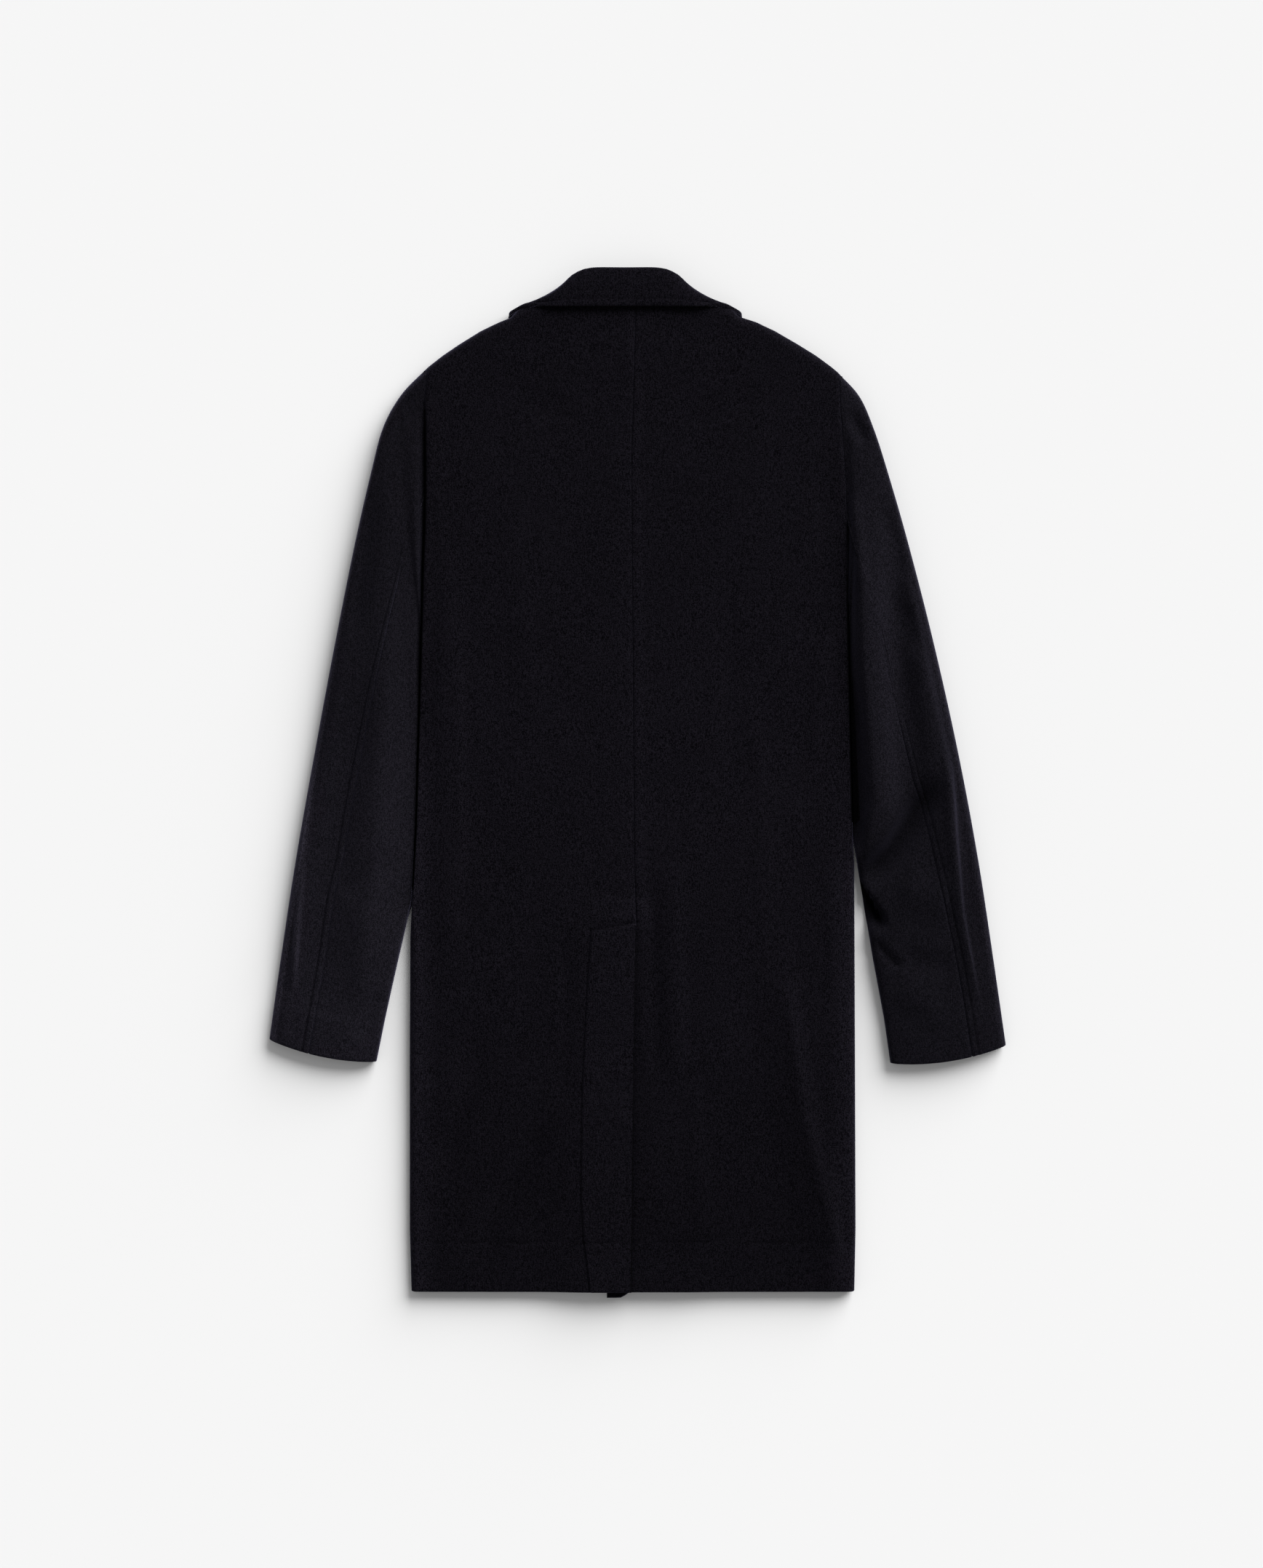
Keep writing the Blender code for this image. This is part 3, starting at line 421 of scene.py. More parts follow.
def roll_line_x(side, up):
    t = (up - BREAK_UP) / (GORGE_UP - BREAK_UP)
    return mix(-side * OVERLAP, NECK_CENTRE + side * GORGE_HALF, max(0.0, t))


def lapel_width(t):
    return LAPEL_START + (LAPEL_WIDTH - LAPEL_START) * min(1.0, max(0.0, t)) ** 0.85


def bed(side, x, up):
    """How far the lapel and the collar, which lie under the front, lift it."""
    out_x, out_up = side * LAPEL_DIRECTION[0], LAPEL_DIRECTION[1]
    edge_x = NECK_CENTRE + side * GORGE_HALF + side * OVERLAP
    rise = GORGE_UP - BREAK_UP
    from_x, from_up = x + side * OVERLAP, up - BREAK_UP
    det = edge_x * out_up - rise * out_x
    t = (from_x * out_up - from_up * out_x) / det
    w = (edge_x * from_up - rise * from_x) / det
    width = mix(lapel_width(t), COLLAR_UNDER, soft((t - 1.0) / 0.08))
    lift = mix(LAYER, COLLAR_WALL + 0.8, soft((t - 0.85) / 0.15))
    return lift * soft((t + 0.12) / 0.12) * soft((width + 20.0 - w) / 14.0)


def over_buttons(x, up):
    nearest = min(math.hypot(x, up - b) for b in BUTTONS)
    return (BUTTON_THICKNESS + BUTTON_CLEAR) * soft((BUTTON_RADIUS + 28.0 - nearest) / 20.0)


def left_front_under(x, up):
    return max(bed(-1, x, up), over_buttons(x, up))


def on_left_front(x, up):
    edge = roll_line_x(-1, up) if up > BREAK_UP else OVERLAP
    return (left_front_under(min(x, edge), up) + FRONT_LAYER) * soft((edge + 25.0 - x) / 16.0)


def right_front_under(x, up):
    lapel = bed(1, x, up)
    return max(lapel, on_left_front(x, up) + lapel * soft((OVERLAP + 24.0 - x) / 20.0))


def front_under(side, x, up):
    return left_front_under(x, up) if side < 0 else right_front_under(x, up)


def lapel_under(side, x, up):
    return 0.0 if side < 0 else on_left_front(x, up)


def vent_line(up):
    return reading(VENT_LINE, up)[0]


def stitch_up(x):
    """The slanted stitching across the vent's top."""
    (x0, up0), (x1, up1) = VENT_STITCH
    return mix(up0, up1, (x - x0) / (x1 - x0))


def vent_lift(x, up):
    """The left back lies on the underlap: a soft rise, then a crisp pressed edge."""
    line = vent_line(up)
    top = stitch_up(x)
    broad = soft((x - line + 64.0) / 62.0) * soft((top + 64.0 - up) / 62.0)
    crisp = soft((x - line + 1.9) / 1.9) * soft((top + 0.7 - up) / 2.2)
    return LAYER * (0.74 * broad + 0.26 * crisp)


def back_detail(side, x, up):
    """Seams, pressed edges and stitching of the back."""
    z = 0.0
    off = abs(x - centre_seam(up))
    above_vent = soft((up - 352.0) / 12.0)
    if side > 0:
        above_vent = max(above_vent, 0.35)
    z += above_vent * (0.28 * soft((8.0 - off) / 2.0) + groove(off, 0.45, 1.2))
    off_hem = up - HEM_TURN + 1.6 * wander(x / 30.0, 3.1, 0.0)
    z += 0.15 * soft(-off_hem / 3.0)
    z += groove(off_hem - 1.0, 0.55, 1.3) * soft(0.9 + 2.5 * wander(x / 24.0, 9.7, 0.0))
    (fx0, fx1), (fup0, fup1) = VENT_FACING
    z += 0.4 * within(x, fx0, fx1, 2.5) * within(up, fup0, fup1, 2.5)
    (x0, _), (x1, _) = VENT_STITCH
    if x0 - 2.0 < x < x1 + 1.0:
        z += groove(up - stitch_up(x), 1.2, 1.3)
    if side < 0 and up < VENT_UP:
        z += groove(x - vent_line(up) + 0.9, 0.7, 1.0)
    if up > UNDERARM:
        edge = abs(armhole_x(side, up)) - abs(x)
        seen = soft((ARMHOLE_SEEN - up) / 30.0) * soft((up - UNDERARM) / 25.0)
        z += 0.5 * seen * soft((9.0 - edge) / 3.0) - 1.2 * soft(1.0 - edge / 2.4)
    return z


def back_painted_light_and_pressing(x, up, column):
    """Painted shade towards the hem, in the seams, along the stitching, at the vent and in the
    crevice by the sleeves; painted light across the middle and at the sides; lighter where the
    cloth has been pressed.
    """
    # painted shade towards the hem, and painted light across the middle of the back
    light = 1.0 - 0.20 * soft((300.0 - up) / 260.0) + 0.10 * soft(1.0 - abs(up - 560.0) / 240.0)
    off = abs(x - centre_seam(up))
    light += 0.12 * soft((13.0 - off) / 2.0) * soft((up - 360.0) / 8.0) * soft(off / 2.0)
    # painted shade in the centre seam
    light -= 0.35 * soft(1.6 - off / 0.9) * soft((up - 362.0) / 8.0)
    (fx0, fx1), (fup0, fup1) = VENT_FACING
    if fx0 < x < fx1 and fup0 - 6.0 < up < fup1:
        light += 0.17 * within(x, fx0, fx1, 3.0) * soft((fup1 - up) / 3.0)
    elif up < VENT_UP and vent_line(up) < x < centre_seam(up):
        light += 0.12
    # painted highlight along the sides of the lower back
    edge = min(side_half(-1, up) + x, side_half(1, up) - x)
    light += (0.62 if x < 0.0 else 0.50) * soft((30.0 - edge) / 28.0) * soft((600.0 - up) / 200.0)
    # painted shade along the vent's slanted stitching
    light -= 0.32 * soft(1.6 - abs(up - stitch_up(x))) * within(x, fx0, 4.0, 1.0)
    # painted shade along the vent's pressed line, at the vent's edge and in a band beside it
    if up < VENT_UP:
        pressed_line_shade = 0.18 + 0.16 * soft((110.0 - up) / 60.0)
        light -= pressed_line_shade * soft(1.5 - abs(x - vent_line(up) + 0.6) / 0.9)
        beyond = x - centre_seam(up)
        if beyond < 0.0:
            light -= 0.70 * soft((beyond + 1.25) / 0.5)
        else:
            light *= 1.0 - 0.20 * soft(1.0 - beyond / 2.2) - 0.20 * soft(1.0 - beyond / 24.0)
    side = -1 if x < 0.0 else 1
    # painted shade in the crevice beside the sleeves
    off_sleeve = abs(armhole_x(side, up)) - abs(x)
    light *= 1.0 - reading(CREVICE_PAINTED_SHADE[NAMES[side]], up)[0] * soft(1.9 - off_sleeve / 1.1)
    # painted shade in dashes along the hem's turn
    dashes = soft(0.7 + 3.0 * wander(x / 22.0, 9.7, 0.0))
    light -= 0.22 * dashes * soft(1.8 - abs(up - HEM_TURN - 0.5) / 1.2)
    return light


def back_top(side, x, up, detailed=True):
    """The height of the back's outer face."""
    centre, edge = reading(LIE, up)
    full = FULLER * soft((THIN_UP - up) / (THIN_UP - FULL_UP))
    centre, edge = centre + 0.6 * full, edge + full
    share = min(1.0, abs(x) / side_half(side, up))
    z = edge + (centre - edge) * (1.0 - share * share)
    inside = soft((1.0 - share) * 9.0)
    for fold in BACK_FOLDS:
        z += inside * fold_height(x, up, fold)
    if side < 0:
        z += vent_lift(x, up)
    if detailed:
        z += back_detail(side, x, up) + ripple(x, up, 1.0)
    return z


# ---- making a shell of cloth
def add_object(name, data):
    thing = bpy.data.objects.new(name, data)
    bpy.context.scene.collection.objects.link(thing)
    return thing


def shell(name, grid, wall, rim, facing_up, shift=0.0, painted_light_and_pressing=None):
    """A named mesh from rows of points, where None leaves a cell out. The points are on
    the outer face, or shift below it; rim gives the rounding of an edge at a point, and
    facing_up is the row and column of a cell whose outer face is uppermost. The last
    function gives the painted light and shade at a point and column, with the back's
    pressed patches; faces painted darkest get the second material index, for the wool without
    sheen."""
    rows, cols = len(grid), len(grid[0])
    p = np.full((rows, cols, 3), np.nan)
    for r, row in enumerate(grid):
        for c, q in enumerate(row):
            if q is not None:
                p[r, c] = q
    ok = ~np.isnan(p[:, :, 0])
    cell = ok[:-1, :-1] & ok[:-1, 1:] & ok[1:, 1:] & ok[1:, :-1]
    ids = np.arange(rows * cols).reshape(rows, cols)
    quads = np.stack([ids[:-1, :-1], ids[:-1, 1:], ids[1:, 1:], ids[1:, :-1]], axis=-1)[cell]
    r, c = facing_up
    a, b, d = p[r, c], p[r, c + 1], p[r + 1, c]
    if np.cross(b - a, d - a)[2] < 0.0:
        quads = quads[:, ::-1]
    used = np.unique(quads)
    renumber = np.full(rows * cols, -1)
    renumber[used] = np.arange(len(used))
    quads = renumber[quads]
    pts = p.reshape(-1, 3)[used]
    facing = np.cross(pts[quads[:, 2]] - pts[quads[:, 0]], pts[quads[:, 3]] - pts[quads[:, 1]])
    normal = np.zeros_like(pts)
    for k in range(4):
        np.add.at(normal, quads[:, k], facing)
    normal /= np.maximum(np.linalg.norm(normal, axis=1, keepdims=True), 1e-9)
    pts = pts + normal * shift

    edges = {}
    for a, b, c, d in quads.tolist():
        for edge in ((a, b), (b, c), (c, d), (d, a)):
            edges[edge] = True
    border = {a: b for a, b in edges if (b, a) not in edges}
    before = {b: a for a, b in border.items()}
    order = list(border)
    at = {v: k for k, v in enumerate(order)}
    v = np.array(order)
    go = pts[[border[a] for a in order]] - pts[v]
    come = pts[v] - pts[[before[a] for a in order]]
    out = np.zeros_like(go)
    for way in (go, come):
        way = way / np.maximum(np.linalg.norm(way, axis=1, keepdims=True), 1e-9)
        out += np.cross(way, normal[v])
    out /= np.maximum(np.linalg.norm(out, axis=1, keepdims=True), 1e-9)
    radius = np.array([min(0.46 * wall, rim(*pts[a])) for a in order])[:, None]
    pts[v] -= out * radius
    n = normal[v]
    rings = []
    for depth, angle in ((radius, 45), (radius, 90), (wall - radius, 90), (wall - radius, 135)):
        a = math.radians(angle)
        rings.append(pts[v] - n * depth + radius * (math.cos(a) * n + math.sin(a) * out))
    inner = pts - normal * wall
    total, m = len(pts), len(order)
    verts = np.concatenate([pts, inner] + rings)
    faces = quads.tolist() + (quads[:, ::-1] + total).tolist()
    for a in order:
        b = border[a]
        chain_a = [a] + [2 * total + k * m + at[a] for k in range(4)] + [a + total]
        chain_b = [b] + [2 * total + k * m + at[b] for k in range(4)] + [b + total]
        for k in range(5):
            faces.append((chain_a[k], chain_a[k + 1], chain_b[k + 1], chain_b[k]))
    verts = (verts - (ORIGIN_X, ORIGIN_UP, 0.0)) * MM
    mesh = bpy.data.meshes.new(name)
    mesh.from_pydata(verts.tolist(), [], faces)
    mesh.shade_smooth()
    # painted light and shade, with the back's pressed patches, kept as a point attribute that
    # scales the wool's colour; faces painted darker than the limit are marked for the wool without
    # sheen, which is more painted shade
    lights = np.ones(len(verts))
    if painted_light_and_pressing:
        lights[:total] = [painted_light_and_pressing(q[0], q[1], k % cols) for q, k in zip(pts.tolist(), used.tolist())]
        lights[2 * total:] = np.tile(lights[v], 4)
    mesh.attributes.new("painted_light_and_pressing", "FLOAT", "POINT").data.foreach_set("value", lights)
    painted_shade = lights[np.array(faces)].mean(axis=1) < PAINTED_SHADE_LIMIT
    mesh.polygons.foreach_set("material_index", painted_shade.astype(np.int32))
    return add_object(name, mesh)


# ---- the back
NECK_SHARE = 0.405
LINE_SHARE = 0.215
SPAN = 208.0
TURNED_IN = (2.6, 1.0)  # depths of a seam's edge, turned to the inside


def back_shares(side):
    """Columns from the centre to the side: close together at both edges, and on the left
    also beside the vent's pressed line."""
    fine = [0.0, 1.3, 2.7, 4.3, 6.2, 8.2, 10.4]
    line = LINE_SHARE * SPAN
    if side < 0:
        beside = [line + d for d in (-3.0, -2.0, -1.2, -0.5, 0.2, 1.0, 2.2)]
        near = even(12.8, line - 4.6, STEP) + beside
        near += even(line + 4.0, NECK_SHARE * SPAN, STEP)
    else:
        near = even(12.8, NECK_SHARE * SPAN, STEP)
    far = even(NECK_SHARE * SPAN, SPAN - 7.0, STEP)[1:]
    edge = [SPAN - d for d in (5.0, 3.4, 2.0, 0.9, 0.0)]
    return [d / SPAN for d in fine + near + far + edge]


def column_share(side, up, share, edge):
    """The way from the centre to the edge that a column has at a height."""
    if side > 0:
        return share
    line = (vent_line(up) - centre_seam(up)) / (edge - centre_seam(up))
    if share < LINE_SHARE:
        return line * share / LINE_SHARE
    return mix(line, 1.0, (share - LINE_SHARE) / (1.0 - LINE_SHARE))


def side_roll(side, up):
    touching = soft((up - apex_up(NAMES[side]) + 50.0) / 50.0)
    return mix(SIDE_ROLL, TOUCHING_ROLL, touching) * soft((UNDERARM - up) / 90.0)


def shoulder_column(side, share):
    """Where a column of the back ends, on the neck or on the shoulder."""
    start = centre_seam(NECK_SEAM_UP)
    neck_x = NECK_CENTRE + side * NECK_HALF
    if share <= NECK_SHARE:
        return mix(start, neck_x, share / NECK_SHARE)
    share = (share - NECK_SHARE) / (1.0 - NECK_SHARE)
    return mix(neck_x, side * side_half(side, ARMHOLE_TOP), share)


def back_piece(side):
    name = NAMES[side]
    shares = back_shares(side)
    lap_shares = even(0.0, 1.0, STEP / VENT_WIDTH)[:-1] if side > 0 else [0.0, 0.0]
    spare = len(lap_shares) - len(TURNED_IN)
    angles = [math.radians(a) for a in even(70.0, -90.0, 20.0)]
    wraps = even(0.0, 1.0, 0.25)[1:]
    ups = [-0.6 * NAP_OUT, 1.0, 3.0, 5.4] + even(8.5, HEM_TURN - 3.0, STEP)
    ups += even(HEM_TURN - 1.5, HEM_TURN + 3.0, 1.5) + even(HEM_TURN + 5.5, 343.0, STEP)
    ups += even(345.0, 366.0, 1.5) + even(368.5, UNDERARM, STEP)
    steps_up = round(ABOVE_ARM / STEP)

    grid = []
    for up in ups:
        roll = side_roll(side, up)
        half = side_half(side, up) + NAP_OUT * soft((apex_up(name) - up) / 40.0)
        lap = side > 0 and up < stitch_up(vent_line(up)) - 5.0
        lap_x = vent_line(up) + LAP_IN
        x = centre_seam(up)
        if lap:
            row = [(mix(lap_x, x, s), up, back_top(1, mix(lap_x, x, s), up)) for s in lap_shares]
        elif up < VENT_UP:
            row = [None] * len(lap_shares)
        else:
            z = back_top(side, x, up)
            row = [None] * spare + [(x, up, z - depth) for depth in TURNED_IN]
        for share in shares:
            edge = side * (half - roll)
            x = mix(centre_seam(up), edge, column_share(side, up, share, edge))
            row.append((x, up, back_top(side, x, up)))
        top = row[-1][2]
        for a in angles:
            x = side * (half - roll + roll * math.cos(a))
            row.append((x, up, 0.5 * top * (1.0 + math.sin(a))))
        for s in wraps:
            row.append((side * mix(half - roll, half - SIDE_WRAP, s), up, 0.0))
        grid.append(row)

    no_lap = [None] * len(lap_shares)
    no_side = [None] * (len(angles) + len(wraps))
    no_edge = no_side[len(TURNED_IN):]
    arm_x = side * side_half(side, ARMHOLE_TOP)
    neck_cells = sum(share < NECK_SHARE - 0.0001 for share in shares)
    rolled_from = sum(share < 0.83 * NECK_SHARE for share in shares)
    for step in range(1, steps_up + 1):
        v = step / steps_up
        edge = armhole_x(side, mix(UNDERARM, shoulder_up(arm_x) - SHOULDER_ROLL, v))
        row = []
        for k, share in enumerate(shares):
            top_x = shoulder_column(side, share)
            top = neck_up(top_x) if k < neck_cells else shoulder_up(top_x) - SHOULDER_ROLL
            up = mix(UNDERARM, top, v)
            start = shoulder_column(side, 0.0)
            top_share = (top_x - start) / (arm_x - start)
            below = column_share(side, UNDERARM, share, side * side_half(side, UNDERARM))
            x = mix(centre_seam(up), edge, mix(below, top_share, soft(v)))
            row.append((x, up, back_top(side, x, up)))
        (x0, up0, z0), (x1, up1, z1) = row[0], row[-1]
        row = [None] * spare + [(x0, up0, z0 - depth) for depth in TURNED_IN] + row
        grid.append(row + [(x1, up1, z1 - depth) for depth in reversed(TURNED_IN)] + no_edge)

    last = grid[-1][len(no_lap):len(no_lap) + len(shares)]
    beside_roll = no_lap + [None] * rolled_from
    for a in angles:
        row = []
        for x, up, z in last[rolled_from:]:
            row.append((x, up + SHOULDER_ROLL * math.cos(a),
                        mix(bed(side, x, up), z, 0.5 * (1.0 + math.sin(a)))))
        grid.append(beside_roll + row + no_side)
    for s in wraps:
        row = []
        for x, up, z in last[rolled_from:]:
            low = mix(up, up + SHOULDER_ROLL - SHOULDER_WRAP, s)
            row.append((x, low, bed(side, x, low)))
        grid.append(beside_roll + row + no_side)

    return shell("back_%s_cloth" % name, grid, WALL,
                 lambda x, up, z: HEM_RIM if up < 1.0 else SEAM_RIM,
                 (len(ups) // 2, len(lap_shares) + 8), painted_light_and_pressing=back_painted_light_and_pressing)


# ---- the fronts
LAPEL_BEND = (60.0, 30.0, 0.0, -30.0, -60.0, -90.0)


def front_piece(side):
    """A front with its lapel turned back under it. The points are on the wall's middle."""
    size = 2.2 * STEP
    gorge_x = NECK_CENTRE + side * GORGE_HALF
    break_x = -side * OVERLAP
    neck_x = NECK_CENTRE + side * NECK_HALF
    arm_x = side * side_half(side, ARMHOLE_TOP)
    strip_width = SIDE_WRAP + 0.6
    shoulder = [shoulder_column(side, s) for s in even(1.0, NECK_SHARE, size / SPAN)][1:]
    tops = shoulder + even(neck_x, gorge_x, size)[1:]
    first = len(tops) - 1
    tops += even(gorge_x, break_x, 0.6 * size)[1:]
    neck_low = shoulder_up(neck_x) - SHOULDER_WRAP
    ups = [0.8, 2.6, 5.0, 8.0, 12.0, 20.0] + even(26.0, 650.2, size)

    def top_up(x):
        if side * (x - neck_x) > -0.01:
            return shoulder_up(x) - SHOULDER_WRAP
        if side * (x - gorge_x) > -0.01:
            return mix(neck_low, GORGE_UP, (x - neck_x) / (gorge_x - neck_x))
        return mix(GORGE_UP, BREAK_UP, (x - gorge_x) / (break_x - gorge_x))

    def middle(x, up):
        return x, up, front_under(side, x, up) + 0.5 * WALL

    shares = [(x - tops[0]) / (break_x - tops[0]) for x in tops]
    grid = []
    for up in ups:
        edge = side * (side_half(side, up) - strip_width)
        strip = [middle(side * side_half(side, up), up)] if up > UNDERARM else [None]
        row = []
        for share in shares:
            x = mix(edge, break_x, share)
            drop = 0.0
            if side > 0 and up < 20.0:
                drop = (HEM_CORNER_DROP + up) * soft((2.0 - x) / 16.0) * (1.0 - up / 20.0)
            if side < 0 and up < 5.0 and x > 0.0:
                drop = -3.0 * (1.0 - up / 5.0)
            row.append(middle(x, up - drop))
        grid.append(strip + row)
    base = ups[-1]
    count = round(ABOVE_ARM / size)
    for step in range(1, count + 1):
        v = step / count
        arm = armhole_x(side, mix(base, shoulder_up(arm_x) - SHOULDER_ROLL, v))
        edge = arm - side * strip_width
        row = [middle(arm, mix(base, top_up(arm_x), v))]
        for x_top, share in zip(tops, shares):
            x = mix(mix(edge, break_x, share), x_top, soft(v))
            row.append(middle(x, mix(base, top_up(x_top), v)))
        grid.append(row)

    last = grid[-1]
    out_x, out_up = side * LAPEL_DIRECTION[0], LAPEL_DIRECTION[1]
    lapel_shares = even(0.0, 1.0, 0.125)[1:]
    skip = first + 1
    lapel_rows = [[None] * skip for _ in list(LAPEL_BEND) + lapel_shares]
    for x, up, z in last[skip:]:
        t = (up - BREAK_UP) / (GORGE_UP - BREAK_UP)
        low = lapel_under(side, x, up) + 0.5 * WALL
        radius = 0.5 * (z - low)
        for k, angle in enumerate(LAPEL_BEND):
            a = math.radians(angle)
            reach = -radius * math.cos(a)
            lapel_rows[k].append((x + reach * out_x, up + reach * out_up,
                                  low + radius * (1.0 + math.sin(a))))
        for k, share in enumerate(lapel_shares):
            w = share * lapel_width(t)
            px, pup = x + w * out_x, up + w * out_up
            lapel_rows[len(LAPEL_BEND) + k].append(
                (px, pup, lapel_under(side, px, pup) + 0.5 * WALL))
    grid += lapel_rows
    return shell("front_%s_cloth" % NAMES[side], grid, WALL,
                 lambda x, up, z: FOLD_RIM, (10, 3), shift=0.5 * WALL)


# ---- the sleeves
def sleeve_frame(name, t):
    side = SIDE_OF[name]
    ix, iup, ox, oup, crest, inner_roll, seam = spline(SLEEVES[name], t)
    if iup < apex_up(name):
        ix = side * reading(INNER_EDGES[name], iup)[0]
    elif iup < UNDERARM:
        ix = mix(ix, side * side_half(side, iup), soft(t / 1.5))
    touching = soft((iup - apex_up(name) + 30.0) / 30.0)
    if iup < UNDERARM:
        ix += side * CREVICE * touching * soft(0.5 * t)
    inner_roll = mix(1.0, SHARPER, touching) * max(0.0, inner_roll)
    width = math.hypot(ox - ix, oup - iup)
    ox, oup = ox + NAP_OUT * (ox - ix) / width, oup + NAP_OUT * (oup - iup) / width
    return side, ix, iup, ox, oup, crest, inner_roll, seam


def closed_under(name, t, iup):
    return CLOSED * soft((t - 0.9) / 2.0) * soft((iup - apex_up(name) + 30.0) / 30.0)


def sleeve_point(name, t, kind, value):
    """A point of a sleeve, at a share of the way from the inner edge's fold to the outer
    edge's on its top or bottom, or at an angle around either edge."""
    side, ix, iup, ox, oup, crest, inner_roll, seam = sleeve_frame(name, t)
    head = SLEEVES[name][0]
    width = math.hypot(ox - ix, oup - iup)
    outer_roll = min(OUTER_ROLL, 0.4 * width)
    if kind in ("top", "bottom"):
        along = mix(inner_roll, width - outer_roll, value)
    elif kind == "inner":
        along = inner_roll - inner_roll * math.cos(math.radians(value))
    else:
        along = width - outer_roll + outer_roll * math.cos(math.radians(value))

    def plan(a):
        share = a / width
        x, up = mix(ix, ox, share), mix(iup, oup, share)
        up -= 4.0 * share * (1.0 - share) * CUFF_BOW[name] * soft((t - 7.5) / 1.5)
        up -= 0.6 * NAP_OUT * soft(t - 8.0)
        seam_up = mix(head[1], head[3], share)
        bow = armhole_x(side, seam_up) - side * ARMHOLE_LAP - mix(head[0], head[2], share)
        return x + bow * soft(1.0 - t), up

    def top(a):
        x, up = plan(a)
        share = min(1.0, max(0.0, (a - inner_roll) / (width - inner_roll - outer_roll)))
        dome = OUTER_EDGE_SHARE + (1.0 - OUTER_EDGE_SHARE) * math.sin(math.pi * share) ** 0.7
        own = crest * dome
        inside = soft(8.0 * share) * soft(8.0 * (1.0 - share))
        reach = soft(1.0 + 8.0 * share - soft(1.2 - t)) * (0.3 + 0.7 * soft(12.0 * (1.0 - share)))
        for fold in SLEEVE_FOLDS[name]:
            own += reach * fold_height(x, up, fold)
        body_x = side * side_half(side, up)
        off = max(0.0, side * (x - armhole_x(side, up)))
        body = back_top(side, body_x, up, detailed=False) - 1.2
        drop, breadth = reading(SAG[name], up)
        touching = 0.85 * soft((up - apex_up(name) + 60.0) / 60.0)
        own = mix(own, body - drop, touching * soft(t - 0.5) * soft(1.0 - off / breadth))
        own = mix(own, body, soft(1.0 - t) * soft(1.0 - (off - 1.5) / 26.0))
        seen = soft((ARMHOLE_SEEN - up) / 50.0) * soft((up - 560.0) / 60.0)
        own -= ARMHOLE_DIP[name] * seen * soft(1.0 - off / 8.0)
        if kind == "top" and t > 0.2:
            d = (value - seam) * (width - inner_roll - outer_roll)
            seen = soft((t - SEAM_SEEN[name]) / 1.2)
            own += groove(d, 0.12 + 0.88 * seen, 1.0)
            own += 0.25 * seen * soft((TOPSTITCH + 0.8 - d) / 1.4) * soft((d + 1.5) / 1.5)
            own += seen * groove(d - TOPSTITCH, 0.8, 0.8)
        off_edge = math.hypot(x - ix, up - iup)
        off_hem = (LAST_ROW - t) * LAST_ROW_LENGTH
        own += 0.8 * soft((CUFF_TURN - off_hem) / 3.0) * soft(off_edge / 4.0)
        return max(LOWEST, own + inside * ripple(x, up, 2.3 if side < 0 else 2.9))

    x, up = plan(along)
    if kind == "inner":
        x -= side * closed_under(name, t, iup) * soft(-value / 40.0)
    if kind == "top":
        return x, up, top(along)
    if kind == "bottom":
        return x - side * closed_under(name, t, iup) * soft(1.0 - 6.0 * value), up, 0.0
    edge = top(inner_roll if kind == "inner" else width - outer_roll)
    return x, up, 0.5 * edge * (1.0 + math.sin(math.radians(value)))


